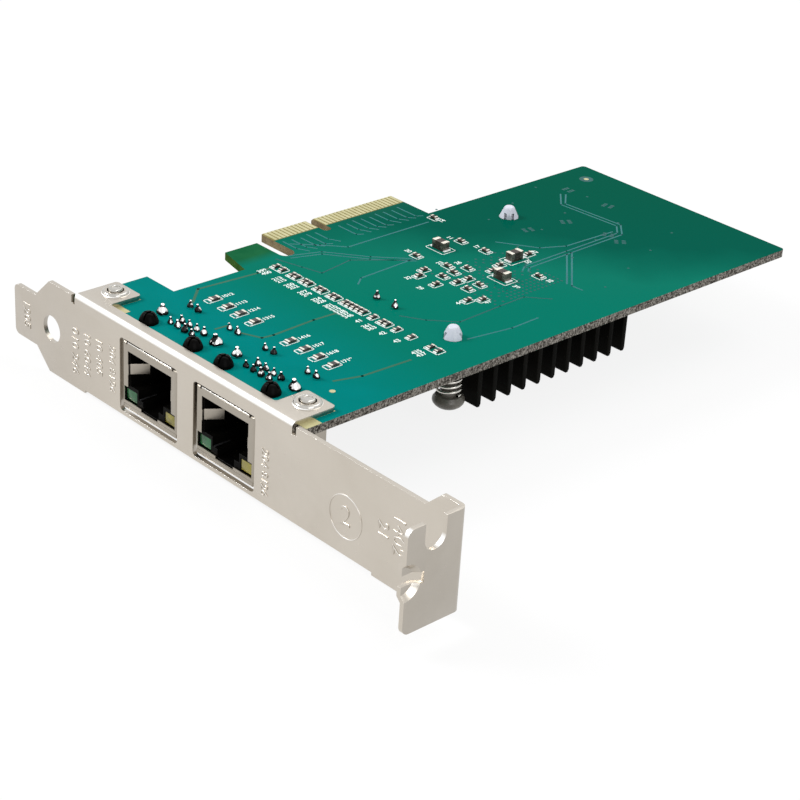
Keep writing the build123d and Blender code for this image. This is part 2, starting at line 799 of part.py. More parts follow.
def pin_spring(x, y):
    """Coil spring between the pin's cap and the heatsink's lug."""
    half = spring_wire / 2
    start = pin_cap_top + half + spring_gap
    height = base_bottom - half - spring_gap - start
    steps = round(spring_turns * spring_steps)
    points = []
    for i in range(steps + 1):
        angle = 2 * math.pi * i / spring_steps
        points.append((spring_radius * math.cos(angle), spring_radius * math.sin(angle), height * i / steps))
    path = Polyline(*points)
    section = Plane(origin=path @ 0, z_dir=path % 0) * RegularPolygon(half, 4)
    coil = sweep(section, path=path, transition=Transition.RIGHT)
    return Pos(x, y, start) * coil


# Component side parts


def gull_lead(length, drop, width):
    """One lead from a package side: down along +X to a foot on the board plane at Z 0."""
    knee = length * 0.45
    shape = polygon([(0, drop), (knee, lead_sheet), (length, lead_sheet), (length, 0),
                     (knee - lead_sheet, 0)])
    return Pos(0, width / 2, 0) * extrude(Plane.XZ * shape, amount=width)


def component_frame(x, y, turn=0):
    """Placement for a part hung under the component side, with its own Z away from the board."""
    return Pos(x, y, component_side) * Rot(180, 0, 0) * Rot(0, 0, turn)


def package(size, standoff, bevel):
    """Moulded package with chamfered top edges, standing off its board plane."""
    length, width, height = size
    body = Pos(0, 0, standoff + (height - standoff) / 2) * Box(length, width, height - standoff)
    return chamfer(body.edges().group_by(Axis.Z)[-1], bevel)


def lead_rows(count, pitch, body_width, drop, width):
    """Two rows of gull wing leads, spread along X, one on each side of a package."""
    leads = []
    for side in (90, -90):
        for i in range(count):
            along = (i - (count - 1) / 2) * pitch
            lead = Rot(0, 0, side) * Pos(body_width / 2, 0, 0) * gull_lead(lead_reach, drop, width)
            leads.append(Pos(along, 0, 0) * lead)
    return leads


def magnetics(port):
    """Network transformer module behind a port."""
    size = (magnetics_length, magnetics_depth, magnetics_height)
    return component_frame(port, magnetics_y) * package(size, magnetics_standoff, magnetics_bevel)


def magnetics_pins():
    """Leads of both transformer modules."""
    pins = []
    for port in port_x:
        for lead in lead_rows(magnetics_lead_count, magnetics_lead_pitch, magnetics_depth, lead_drop,
                              magnetics_lead_width):
            pins.append(component_frame(port, magnetics_y) * lead)
    return pins


def crystal():
    """Low metal can crystal with a flange foot and two leads through the board."""
    plan = SlotOverall(crystal_length, crystal_width)
    foot = extrude(plan, amount=crystal_foot)
    can = extrude(offset(plan, -crystal_rim), amount=crystal_height)
    body = component_frame(crystal_x, crystal_y) * (foot + can)
    for x in crystal_leads:
        lead = Box(crystal_lead, crystal_lead, board_thickness + crystal_foot)
        body += Pos(x, crystal_y, solder_side - (board_thickness + crystal_foot) / 2) * lead
    return body


def flash_memory():
    """Small eight lead memory package."""
    return component_frame(*memory_place) * package(memory_size, small_package_standoff, small_package_bevel)


def voltage_regulator():
    """Regulator package."""
    body = package(regulator_size, small_package_standoff, small_package_bevel)
    return component_frame(*regulator_place) * body


def small_package_leads():
    """Leads of the memory and of the regulator, with the regulator's wide tab."""
    leads = [component_frame(*memory_place) * lead
             for lead in lead_rows(memory_lead_count, memory_lead_pitch, memory_size[1], memory_lead_drop,
                                   memory_lead_width)]
    frame = component_frame(*regulator_place)
    side = Pos(regulator_size[1] / 2, 0, 0)
    for i in (-1, 0, 1):
        lead = gull_lead(lead_reach, regulator_lead_drop, regulator_lead_width)
        leads.append(frame * Pos(i * regulator_lead_pitch, 0, 0) * Rot(0, 0, 90) * side * lead)
    wide = gull_lead(lead_reach, regulator_lead_drop, regulator_tab_width)
    leads.append(frame * Rot(0, 0, -90) * side * wide)
    return leads


def power_inductor():
    """Drum core inductor in a square base."""
    base = Box(inductor_size, inductor_size, inductor_base)
    base = chamfer(base.edges().filter_by(Axis.Z), inductor_corner)
    body = Pos(0, 0, inductor_base / 2) * base
    body += facet_post(inductor_core_radius, 0, 0, (0, inductor_height), can_sides)
    rim = (inductor_height - inductor_rim_height, inductor_height)
    body += facet_post(inductor_rim_radius, 0, 0, rim, can_sides)
    return component_frame(*inductor_place) * body


def bulk_capacitors():
    """Can capacitors on square plastic feet."""
    cans = []
    for place in bulk_places:
        foot = Pos(0, 0, bulk_base_height / 2) * Box(bulk_base_size, bulk_base_size, bulk_base_height)
        can = facet_post(bulk_radius, 0, 0, (0, bulk_height), can_sides)
        can = chamfer(can.edges().group_by(Axis.Z)[-1], bulk_rim)
        cans.append(component_frame(*place) * (foot + can))
    return cans


# Solder side parts


def chip(place, size, along_x):
    """One leadless chip part on the solder side."""
    length, width, height = size
    if not along_x:
        length, width = width, length
    return Pos(place[0], place[1], solder_side + height / 2) * Box(length, width, height)


def far_row_places():
    """Places along X of the far row's parts: single ones, pairs and a bank."""
    places = list(row_far_single_x)
    for middle in row_far_pair_x:
        places += [middle - pair_pitch / 2, middle + pair_pitch / 2]
    for middle in row_far_wide_pair_x:
        places += [middle - wide_pair_pitch / 2, middle + wide_pair_pitch / 2]
    for i in range(row_far_bank_count):
        places.append(row_far_bank_x + (i - (row_far_bank_count - 1) / 2) * pair_pitch)
    return places


def chip_resistors():
    """The two rows of resistors behind the ports."""
    near = (chip_long, chip_wide, chip_thick)
    far = (small_long, small_wide, chip_thick)
    parts = [chip((x, row_near_y), near, False) for x in row_near_x]
    return parts + [chip((x, row_far_y), far, False) for x in far_row_places()]


def chip_capacitors():
    """Small chip capacitors behind the controller."""
    size = (small_long, small_wide, small_thick)
    parts = [chip(place, size, True) for place in caps_along_x]
    return parts + [chip(place, size, False) for place in caps_along_y]


def large_chip_capacitors():
    """Three tall chip capacitors behind the controller."""
    size = (big_cap_long, big_cap_wide, big_cap_thick)
    return [chip(place, size, along_x) for place, along_x in big_caps]


def pin_solder_joints():
    """Joints of the contact tails, the lamp leads and the crystal leads."""
    places = [(x, wire_row(i)) for port in port_x for i, x in enumerate(wire_xs(port))]
    places += [(port + end * lead, lead_y) for port in port_x for end in (-1, 1) for lead in lead_places]
    places += [(x, crystal_y) for x in crystal_leads]
    level = (solder_side, solder_side + joint_height)
    return [facet_taper(joint_radius, joint_tip_radius, x, y, level, joint_sides) for x, y in places]


def shield_solder_joints():
    """Larger joints of the shield tabs."""
    joints = []
    for port in port_x:
        for end in (-1, 1):
            x = port + end * (port_half - shield_wall / 2)
            joints.append(facet_taper(shield_joint_radius, shield_joint_tip_radius, x, shield_tab_y,
                                      (solder_side, solder_side + shield_joint_height)))
    return joints


def group(solids):
    """Several separate solids in one node."""
    return Compound(children=[solid if isinstance(solid, Solid) else solid.solid() for solid in solids])


parts = {
    "bracket": bracket(),
    "circuit_board": circuit_board(),
    "edge_contacts": group(edge_contacts()),
    "ground_pads": group(ground_pads()),
    "flange_screws": group(flange_screws()),
    "controller_chip": controller_chip(),
    "thermal_pad": thermal_pad(),
    "heatsink": heatsink(),
    "magnetics_leads": group(magnetics_pins()),
    "crystal": crystal(),
    "flash_memory": flash_memory(),
    "voltage_regulator": voltage_regulator(),
    "package_leads": group(small_package_leads()),
    "power_inductor": power_inductor(),
    "bulk_capacitors": group(bulk_capacitors()),
    "chip_resistors": group(chip_resistors()),
    "chip_capacitors": group(chip_capacitors()),
    "large_chip_capacitors": group(large_chip_capacitors()),
    "pin_solder_joints": group(pin_solder_joints()),
    "shield_solder_joints": group(shield_solder_joints()),
}
for side, port in zip(("left", "right"), port_x):
    parts["port_shield_" + side] = port_shield(port)
    parts["port_housing_" + side] = port_housing(port)
    parts["port_contacts_" + side] = group(port_contacts(port))
    parts["lamp_leads_" + side] = group(lamp_leads(port))
    parts["green_lamp_" + side] = lamp_block(port, -1)
    parts["yellow_lamp_" + side] = lamp_block(port, 1)
    parts["magnetics_" + side] = magnetics(port)
for side, (x, y), turn in zip(("near", "far"), pin_places, (-pin_turn, pin_turn)):
    parts["push_pin_" + side] = push_pin(x, y, turn)
    parts["pin_spring_" + side] = pin_spring(x, y)

os.makedirs("parts", exist_ok=True)
to_connector = Pos(-tip_x, -key_y, -board_middle)
for name, shape in parts.items():
    export_step(to_connector * shape, "parts/" + name + ".step")
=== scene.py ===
import math

import bpy
from mathutils import Matrix, Vector


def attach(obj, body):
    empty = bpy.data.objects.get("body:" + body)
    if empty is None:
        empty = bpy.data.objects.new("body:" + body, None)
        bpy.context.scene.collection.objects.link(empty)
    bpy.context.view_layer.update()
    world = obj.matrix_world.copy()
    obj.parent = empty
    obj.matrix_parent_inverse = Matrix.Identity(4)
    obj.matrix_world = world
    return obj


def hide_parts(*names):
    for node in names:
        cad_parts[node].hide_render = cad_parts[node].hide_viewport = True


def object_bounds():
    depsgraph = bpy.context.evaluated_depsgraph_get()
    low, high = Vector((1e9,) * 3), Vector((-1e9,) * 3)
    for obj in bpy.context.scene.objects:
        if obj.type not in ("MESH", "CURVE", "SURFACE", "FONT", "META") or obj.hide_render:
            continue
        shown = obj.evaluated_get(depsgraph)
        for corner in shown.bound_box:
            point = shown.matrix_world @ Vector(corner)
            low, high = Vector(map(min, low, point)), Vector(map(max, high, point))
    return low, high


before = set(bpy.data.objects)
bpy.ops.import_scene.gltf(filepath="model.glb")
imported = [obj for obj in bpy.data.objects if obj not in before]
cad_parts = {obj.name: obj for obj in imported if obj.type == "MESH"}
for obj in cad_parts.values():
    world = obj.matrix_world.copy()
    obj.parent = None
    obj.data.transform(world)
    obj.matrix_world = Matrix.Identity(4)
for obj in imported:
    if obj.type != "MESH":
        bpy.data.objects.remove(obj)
cad_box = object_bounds()

# Sizes are in millimetres from the bracket's front lower corner, as the card's own drawing has them.
MM = 0.001
ORIGIN = (15.83, 58.28, 17.215)
SOLDER_SIDE = 18.0
COMPONENT_SIDE = 16.43

# Thin pieces on the board: how far they reach into it, and how far each kind stands above it
SUNK = 0.01
TRACK_RISE = 0.012
LAND_RISE = 0.013
VIA_RISE = 0.014
MARK_RISE = 0.03
MOAT_RISE = 0.008
PRINT_RISE = 0.02

# Places of the ports, screws, push pins and component-side parts
PORT_X = (41.5, 62.65)
FOLD_HALF_WIDTH = 6.35
SILL_HALF_WIDTH = 7.7
LAMP_SIDE = 4.05
PEG_SIDE = 6.35
PEG_Y = 4.85
SCREW_X = (23.15, 76.6)
SCREW_Y = 6.4
PIN_PLACES = ((71.65, 44.55), (38.25, 92.45))
BULK_PLACES = ((45.5, 101.5), (45.5, 111.5), (64.0, 115.0))
INDUCTOR_PLACE = (56.0, 106.0)

# Printed rows of the board's solder side, and the numbers beside its chip capacitors
NEAR_ROW_Y = 19.85
NEAR_ROW = (34.5, 38.5, 42.1, 46.2, 56.0, 59.9, 63.6, 67.4)
FAR_ROW_Y = 38.4
PAIR_ROW = (35.4, 38.9, 42.8, 46.6, 60.4)
WIDE_ROW = (31.0, 73.4)
SINGLE_ROW = (57.3, 63.6, 67.4)
BANK_X = 52.2
CAP_LABELS = ((39.1, 75.1), (32.0, 79.8), (45.4, 76.4), (39.0, 64.0), (46.8, 65.1), (48.8, 68.0),
              (52.9, 54.1), (48.3, 55.4), (65.1, 76.4), (63.2, 69.2), (64.8, 60.1), (62.0, 55.5),
              (53.7, 83.8), (56.4, 79.4))
# Name, length, width and stroke of the printed outlines, with the row that they stand in
PRINT_FRAMES = (("near_frames", 1.85, 3.55, 0.2, NEAR_ROW, NEAR_ROW_Y),
                ("pair_frames", 3.2, 2.35, 0.18, PAIR_ROW, FAR_ROW_Y),
                ("wide_frames", 3.8, 2.35, 0.18, WIDE_ROW, FAR_ROW_Y),
                ("single_frames", 1.5, 2.4, 0.18, SINGLE_ROW, FAR_ROW_Y),
                ("bank_frame", 7.1, 2.35, 0.18, (BANK_X,), FAR_ROW_Y))
CHIP_FRAME_STROKE = 0.17
NEAR_LABEL_Y = 23.2
FAR_LABEL_Y = 35.2
DIGIT_WEIGHT = 0.035

# Chips: their bodies lie within the end caps, which overlap them a little, and on solder pads.
CAP_CLEAR = 0.9
BODY_INSET = 0.03
PAD_HEIGHT = 0.28

# Copper under the mask: widths, and the bends of each route
GAP_WIDTH = 0.5
LIGHT_WIDTH = 0.34
PAIR_WIDTH = 0.32
PAIR_GAP = 0.55
DARK_WIDTH = 0.3
GAP_ROUTES = (((33.1, 16.3), (29.2, 20.5), (30.1, 33.9), (29.6, 37.2)),
              ((48.2, 15.3), (51.9, 17.0), (52.2, 19.4), (51.7, 29.1), (51.9, 34.3)),
              ((44.3, 12.7), (44.5, 15.7)),
              ((71.9, 16.3), (73.4, 21.4), (73.8, 32.2)))
LIGHT_ROUTES = (((23.2, 47.6), (26.9, 52.0), (30.8, 55.8), (30.8, 77.1)),
                ((44.8, 45.9), (43.1, 48.2), (42.4, 63.0)),
                ((58.2, 88.4), (67.9, 78.1)),
                ((58.4, 89.6), (69.1, 78.2), (71.5, 78.4)),
                ((75.1, 62.7), (75.3, 55.9), (73.8, 46.2)),
                ((45.9, 81.2), (53.0, 86.2), (55.4, 91.2), (55.9, 104.0)))
PAIR_ROUTES = (((36.4, 110.4), (40.1, 106.5), (54.4, 107.6), (57.5, 104.5), (57.7, 89.4), (57.9, 77.6),
                (59.0, 76.0)),
               ((27.9, 43.6), (30.0, 49.8), (37.2, 55.8), (43.0, 62.3)))
DARK_ROUTES = (((27.1, 40.8), (32.8, 42.4), (37.1, 43.7), (35.7, 52.0), (43.3, 62.6)),
               ((59.6, 42.9), (63.7, 45.5), (67.9, 50.0), (67.4, 60.7), (67.2, 67.2), (70.9, 70.8)))
FOOTPRINTS = ((35.3, 113.1), (46.1, 113.5), (56.5, 102.2), (60.3, 101.5), (46.9, 100.1), (45.3, 90.8))
FAN_PITCH = 2.0
FAN_START = 47.2
FAN_COUNT = 16
FAN_NOTCH = (5, 6)
VIA_PITCH = 1.05
VIA_RADIUS = 0.26
LAND_SIZE = (0.8, 0.5)
LAND_SIDE = 0.75
LAND_ROW = 0.65
MARK_RADIUS = 0.55
FAR_MARK = (33.3, 120.8)
NEAR_MARK = (74.6, 13.6)
MOAT_RADIUS = 1.5

# Plain raised numbers on the bracket (digits, X, Z and size) and the ring with its digit
STAMPS = (("1205", 3.9, 8.9, 2.9), ("010 246", 19.35, 7.4, 2.9), ("10 6044", 23.1, 8.2, 2.7),
          ("10 405", 26.85, 9.2, 2.7), ("204 8126", 30.8, 8.3, 2.5), ("204 8126", 73.6, 6.5, 2.4),
          ("21", 102.8, 9.4, 3.4), ("1402", 106.4, 10.0, 3.8))
STAMP_HALF_DEPTH = 0.05
STAMP_ROUNDING = 0.07
STAMP_THINNING = 0.06
RING_X = 94.0
RING_Z = 7.6
RING_RADIUS = 3.9
RING_STROKE = 0.13
RING_DEPTH = 0.04
RING_DIGIT_SIZE = 5.0

# Turned pieces, as rings of (radius, height) with the lowest first
COLLAR_RINGS = ((2.5, 18.86), (2.46, 19.15), (2.36, 19.36), (2.18, 19.46), (1.98, 19.46), (1.84, 19.34),
                (1.8, 19.1), (1.8, 18.6))
# Black plug in each collar's bore, a painted shadow around the screw's end
SHADOW_PLUG_RINGS = ((1.86, 18.5), (1.86, 19.2))
PEG_RINGS = ((1.78, -0.02), (1.84, 0.15), (1.76, 0.55), (1.5, 1.15), (1.2, 1.65), (1.0, 1.85), (0.8, 1.9))
PEG_BORE_RINGS = ((0.42, 1.2), (0.42, 3))
STEM_RINGS = ((2.1, 4.4), (2.55, 4.75), (2.9, 5.2), (3.0, 5.6), (2.95, 5.95), (2.7, 6.3), (2.45, 6.65),
              (1.65, 6.7), (1.6, 10.0), (1.3, 10.02), (1.3, 18.1))
BARB_RINGS = ((1.9, 17.95), (1.96, 18.06), (1.86, 18.35), (1.6, 18.9), (1.36, 19.4), (1.17, 19.8),
              (1.04, 20.05), (0.86, 20.24), (0.55, 20.36), (0.2, 20.39))
SCREW_RINGS = ((1.7, 14.53), (2.3, 14.65), (2.68, 15.0), (2.8, 15.5), (2.8, 16.4), (1.45, COMPONENT_SIDE),
               (1.32, 18.7), (1.32, 19.7), (1.24, 19.88), (1.08, 19.95), (0.86, 19.93), (0.8, 19.78),
               (0.5, 19.74))
CORE_RINGS = ((3.2, 12.83), (3.3, 12.93), (3.3, 13.53), (3.2, 13.63), (2.4, 13.65), (2.4, 15.5))
CAN_RINGS = ((2.55, 11.03), (2.95, 11.06), (3.13, 11.25), (3.15, 11.5), (3.15, 14.7), (2.95, 14.85),
             (2.95, 15.1), (3.15, 15.3), (3.15, 15.5))
# A solder joint's rings, as shares of its radius and height
DROP_RINGS = ((0.92, -0.02), (1.0, 0.07), (0.98, 0.2), (0.86, 0.36), (0.64, 0.52), (0.44, 0.66), (0.34, 0.78),
              (0.34, 0.88), (0.26, 0.96), (0.1, 1.0))

# Springs of the push pins
COIL_RADIUS = 2.2
COIL_WIRE_RADIUS = 0.27
COIL_TURNS = 3.75
COIL_STEPS = 28
COIL_BOTTOM = 7.03
COIL_TOP = 10.87

# Corners of a CAD mesh that lie closer than this are one corner.
MERGE_DISTANCE = 0.0005

# Camera, in degrees, pixels and millimetres
CAMERA_TURN = 45.647
CAMERA_RISE = 27.524
CAMERA_ROLL = 3.577
CAMERA_PLACE = (308.032, -198.678, 181.459)
CAMERA_FOCAL_PIXELS = 2118.78
FRAME_PIXELS = 800
SENSOR = 36.0

# Floor, in metres. A share of it is plain white; the rest is lit, and keeps the card's shadow.
FLOOR_SIZE = 6
FLOOR_GAP = 0.0002
FLOOR_WHITE_SHARE = 0.86


def at(x, y, z):
    """A place on the card's drawing, in the frame's metres."""
    return Vector((x - ORIGIN[0], y - ORIGIN[1], z - ORIGIN[2])) * MM


# Selection, finishing and copying of pieces


def select_only(*pieces):
    """Leaves just these objects selected, the first one active."""
    if bpy.context.object and bpy.context.object.mode != "OBJECT":
        bpy.ops.object.mode_set(mode="OBJECT")
    bpy.ops.object.select_all(action="DESELECT")
    for piece in pieces:
        piece.select_set(True)
    if pieces:
        bpy.context.view_layer.objects.active = pieces[0]


def settle(piece, name):
    """Names a new piece and brings its place into its mesh."""
    piece.name = name
    piece.data.name = name
    select_only(piece)
    bpy.ops.object.transform_apply(location=True, rotation=True, scale=True)
    return piece


def finish_piece(piece, material, node):
    """Gives a piece its finish and its body, and hides the CAD node that it stands for."""
    piece.data.materials.clear()
    piece.data.materials.append(FINISHES[material])
    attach(piece, "root")
    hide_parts(node)


def dress_in_place(node, material):
    """Gives a CAD node that stays its finish."""
    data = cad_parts[node].data
    data.materials.clear()
    data.materials.append(FINISHES[material])


def smooth(piece, degrees=35):
    """Shades smooth across the edges that turn less than an angle."""
    select_only(piece)
    bpy.ops.object.shade_smooth_by_angle(angle=math.radians(degrees))


def soften_edges(piece, width, segments=2, degrees=35):
    """Breaks the sharp edges with a small applied bevel."""
    select_only(piece)
    bevel = piece.modifiers.new("edge_break", "BEVEL")
    bevel.width = width * MM
    bevel.segments = segments
    bevel.limit_method = "ANGLE"
    bevel.angle_limit = math.radians(degrees)
    bevel.use_clamp_overlap = True
    bpy.ops.object.modifier_apply(modifier=bevel.name)
    smooth(piece, degrees)


def join(name, pieces):
    """One object out of several."""
    select_only(*pieces)
    if len(pieces) > 1:
        bpy.ops.object.join()
    pieces[0].name = name
    pieces[0].data.name = name
    return pieces[0]


def copy_of(piece, transform):
    """A copy with a mesh of its own, moved in its mesh."""
    twin = piece.copy()
    twin.data = piece.data.copy()
    twin.data.transform(transform)
    bpy.context.scene.collection.objects.link(twin)
    return twin


def spread(piece, name, transforms):
    """Copies of a piece at every transform, joined; the pattern piece goes away."""
    twins = [copy_of(piece, transform) for transform in transforms]
    bpy.data.objects.remove(piece)
    return join(name, twins)


def shift(x, y, z=0.0, turn=0.0):
    """Transform of a pattern piece that was modelled at the drawing's corner."""
    return Matrix.Translation(Vector((x, y, z)) * MM) @ Matrix.Rotation(math.radians(turn), 4, "Z")


def move_to_frame(piece):
    """Brings a piece modelled from the drawing's corner into the frame."""
    piece.data.transform(Matrix.Translation(-Vector(ORIGIN) * MM))
    return piece


# Shapes, modelled from the drawing's corner and moved to the frame at the end


def box(name, low, high, width=0.0, segments=2):
    """A box between two corners with its edges broken."""
    size = [(high[i] - low[i]) * MM for i in range(3)]
    centre = [(high[i] + low[i]) / 2 * MM for i in range(3)]
    select_only()
    bpy.ops.mesh.primitive_cube_add(size=1, location=centre, scale=size)
    piece = settle(bpy.context.object, name)
    if width:
        soften_edges(piece, width, segments)
    return piece


def turned(name, x, y, profile, sides=28, degrees=40):
    """A piece turned about Z from rings of (radius, height), lowest first."""
    select_only()
    radius, height = profile[0]
    bpy.ops.mesh.primitive_circle_add(vertices=sides, radius=radius * MM, fill_type="NGON",
                                      location=(x * MM, y * MM, height * MM))
    piece = bpy.context.object
    bpy.ops.object.mode_set(mode="EDIT")
    bpy.ops.mesh.select_all(action="SELECT")
    for wider, higher in profile[1:]:
        bpy.ops.mesh.extrude_region_move(TRANSFORM_OT_translate={"value": (0, 0, (higher - height) * MM)})
        scale = wider / radius
        bpy.ops.transform.resize(value=(scale, scale, 1), center_override=(x * MM, y * MM, higher * MM))
        radius, height = wider, higher
    bpy.ops.mesh.select_all(action="SELECT")
    bpy.ops.mesh.normals_make_consistent(inside=False)
    bpy.ops.object.mode_set(mode="OBJECT")
    settle(piece, name)
    smooth(piece, degrees)
    return piece


def slab(name, x, y, length, width, low, high):
    """A thin plate, centred in plan: a square drawn out to its size and extruded."""
    select_only()
    centre = (x * MM, y * MM, low * MM)
    bpy.ops.mesh.primitive_plane_add(size=MM, location=centre)
    piece = bpy.context.object
    bpy.ops.object.mode_set(mode="EDIT")
    bpy.ops.mesh.select_all(action="SELECT")
    bpy.ops.transform.resize(value=(length, width, 1), center_override=centre)
    bpy.ops.mesh.extrude_region_move(TRANSFORM_OT_translate={"value": (0, 0, (high - low) * MM)})
    bpy.ops.mesh.select_all(action="SELECT")
    bpy.ops.mesh.normals_make_consistent(inside=False)
    bpy.ops.object.mode_set(mode="OBJECT")
    return settle(piece, name)


def digits(text, size, **settings):
    """Plain digits as a mesh, centred on the drawing's corner; the settings are in millimetres."""
    select_only()
    bpy.ops.object.text_add(location=(0, 0, 0))
    figures = bpy.context.object.data
    figures.body = text
    figures.size = size * MM
    figures.align_x = "CENTER"
    figures.align_y = "CENTER"
    for key, value in settings.items():
        setattr(figures, key, value * MM)
    bpy.ops.object.convert(target="MESH")
    return bpy.context.object


def cut(piece, cutters):
    """Takes the cutters out of a piece; they go away."""
    for cutter in cutters:
        select_only(piece)
        tool = piece.modifiers.new("cut", "BOOLEAN")
        tool.operation = "DIFFERENCE"
        tool.solver = "EXACT"
        tool.object = cutter
        bpy.ops.object.modifier_apply(modifier=tool.name)
        bpy.data.objects.remove(cutter)


# Copies of the CAD's own meshes, which are in the frame already


def node_mesh(node):
    """Mesh data of a CAD node, as a copy."""
    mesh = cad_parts[node].data.copy()
    mesh.name = node + "_dressed"
    return mesh


def cad_copy(node, name, width=0.0, segments=2, degrees=30):
    """A copy of a CAD node's mesh with its flat faces merged and its edges broken."""
    piece = bpy.data.objects.new(name, node_mesh(node))
    bpy.context.scene.collection.objects.link(piece)
    select_only(piece)
    bpy.ops.mesh.customdata_custom_splitnormals_clear()
    bpy.ops.object.mode_set(mode="EDIT")
    bpy.ops.mesh.select_all(action="SELECT")
    bpy.ops.mesh.remove_doubles(threshold=MERGE_DISTANCE * MM)
    bpy.ops.mesh.dissolve_limited(angle_limit=math.radians(1.0))
    bpy.ops.object.mode_set(mode="OBJECT")
    if width:
        soften_edges(piece, width, segments, degrees)
    else:
        smooth(piece, degrees)
    return piece


def drop_above(piece, height):
    """Deletes the faces of a piece whose middle is above a height on the drawing."""
    select_only(piece)
    bpy.ops.object.mode_set(mode="EDIT")
    bpy.ops.mesh.select_all(action="DESELECT")
    bpy.ops.object.mode_set(mode="OBJECT")
    limit = (height - ORIGIN[2]) * MM
    for face in piece.data.polygons:
        face.select = face.center.z > limit
    bpy.ops.object.mode_set(mode="EDIT")
    bpy.ops.mesh.select_mode(type="FACE")
    bpy.ops.mesh.delete(type="FACE")
    bpy.ops.object.mode_set(mode="OBJECT")


def islands(node):
    """Lowest and highest corner of each separate solid of a CAD node, on the drawing."""
    piece = bpy.data.objects.new("node_copy", node_mesh(node))
    bpy.context.scene.collection.objects.link(piece)
    select_only(piece)
    bpy.ops.object.mode_set(mode="EDIT")
    bpy.ops.mesh.select_all(action="SELECT")
    bpy.ops.mesh.remove_doubles(threshold=MERGE_DISTANCE * MM)
    bpy.ops.mesh.separate(type="LOOSE")
    bpy.ops.object.mode_set(mode="OBJECT")
    boxes = []
    for loose in list(bpy.context.selected_objects):
        points = [vertex.co / MM + Vector(ORIGIN) for vertex in loose.data.vertices]
        boxes.append((Vector([min(point[i] for point in points) for i in range(3)]),
                      Vector([max(point[i] for point in points) for i in range(3)])))
        bpy.data.objects.remove(loose)
    return sorted(boxes, key=lambda corners: tuple(corners[0]))


# Shader building


def add(tree, kind, inputs=None, **settings):
    """Adds a shader node with its inputs linked or set."""
    made = tree.nodes.new(kind)
    for key, value in settings.items():
        setattr(made, key, value)
    for key, value in (inputs or {}).items():
        if isinstance(value, bpy.types.NodeSocket):
            tree.links.new(value, made.inputs[key])
        else:
            made.inputs[key].default_value = value
    return made


def finish(name, **sockets):
    """A new material and its shader, with constants set on the shader's own sockets."""
    material = bpy.data.materials.new(name)
    material.use_nodes = True
    shader = material.node_tree.nodes["Principled BSDF"]
    for key, value in sockets.items():
        shader.inputs[key.replace("_", " ")].default_value = value
    return material, material.node_tree, shader


def spots(tree, scale, detail=3.0, roughness=0.55, stretch=(1, 1, 1)):
    """Noise over the object's own coordinates, in features per metre."""
    coordinates = add(tree, "ShaderNodeTexCoord").outputs["Object"]
    mapped = add(tree, "ShaderNodeMapping", {"Vector": coordinates, "Scale": stretch}).outputs[0]
    return add(tree, "ShaderNodeTexNoise",
               {"Vector": mapped, "Scale": scale, "Detail": detail, "Roughness": roughness}).outputs["Fac"]


def ramp(tree, factor, stops):
    """A colour ramp from (place, colour) stops."""
    made = add(tree, "ShaderNodeValToRGB", {"Fac": factor})
    elements = made.color_ramp.elements
    while len(elements) < len(stops):
        elements.new(0.5)
    for element, (place, colour) in zip(elements, stops):
        element.position = place
        element.color = (*colour, 1)
    return made.outputs["Color"]


def levels(tree, factor, low, high, to_low, to_high):
    """Maps a factor from one range to another."""
    return add(tree, "ShaderNodeMapRange", {"Value": factor, "From Min": low, "From Max": high,
                                            "To Min": to_low, "To Max": to_high}).outputs[0]


def blend_colour(tree, factor, first, second):
    """Mixes two colours by a factor; the mix node has its colours at sockets 6 and 7."""
    mix = add(tree, "ShaderNodeMix", data_type="RGBA")
    for place, source in ((0, factor), (6, first), (7, second)):
        tree.links.new(source, mix.inputs[place])
    return mix.outputs[2]


def connect(tree, shader, **sources):
    """Links node outputs to the shader's sockets."""
    for key, source in sources.items():
        tree.links.new(source, shader.inputs[key.replace("_", " ")])


def bump(tree, height, strength, distance):
    """Bump from a height, its distance in millimetres."""
    return add(tree, "ShaderNodeBump", {"Height": height, "Strength": strength,
                                        "Distance": distance * MM}).outputs[0]


def simple_finish(name, dark, light, metallic, rough, scale, strength, stretch=(1, 1, 1), grain=0.02,
                  **sockets):
    """Colour, roughness and bump that vary together over the surface."""
    material, tree, shader = finish(name, Metallic=metallic, **sockets)
    broad = spots(tree, scale, stretch=stretch)
    fine = spots(tree, scale * 12, 4.0, 0.6, stretch)
    connect(tree, shader,
            Base_Color=ramp(tree, broad, ((0.3, dark), (0.7, light))),
            Roughness=levels(tree, fine, 0.3, 0.7, rough[0], rough[1]),
            Normal=bump(tree, fine, strength, grain))
    return material


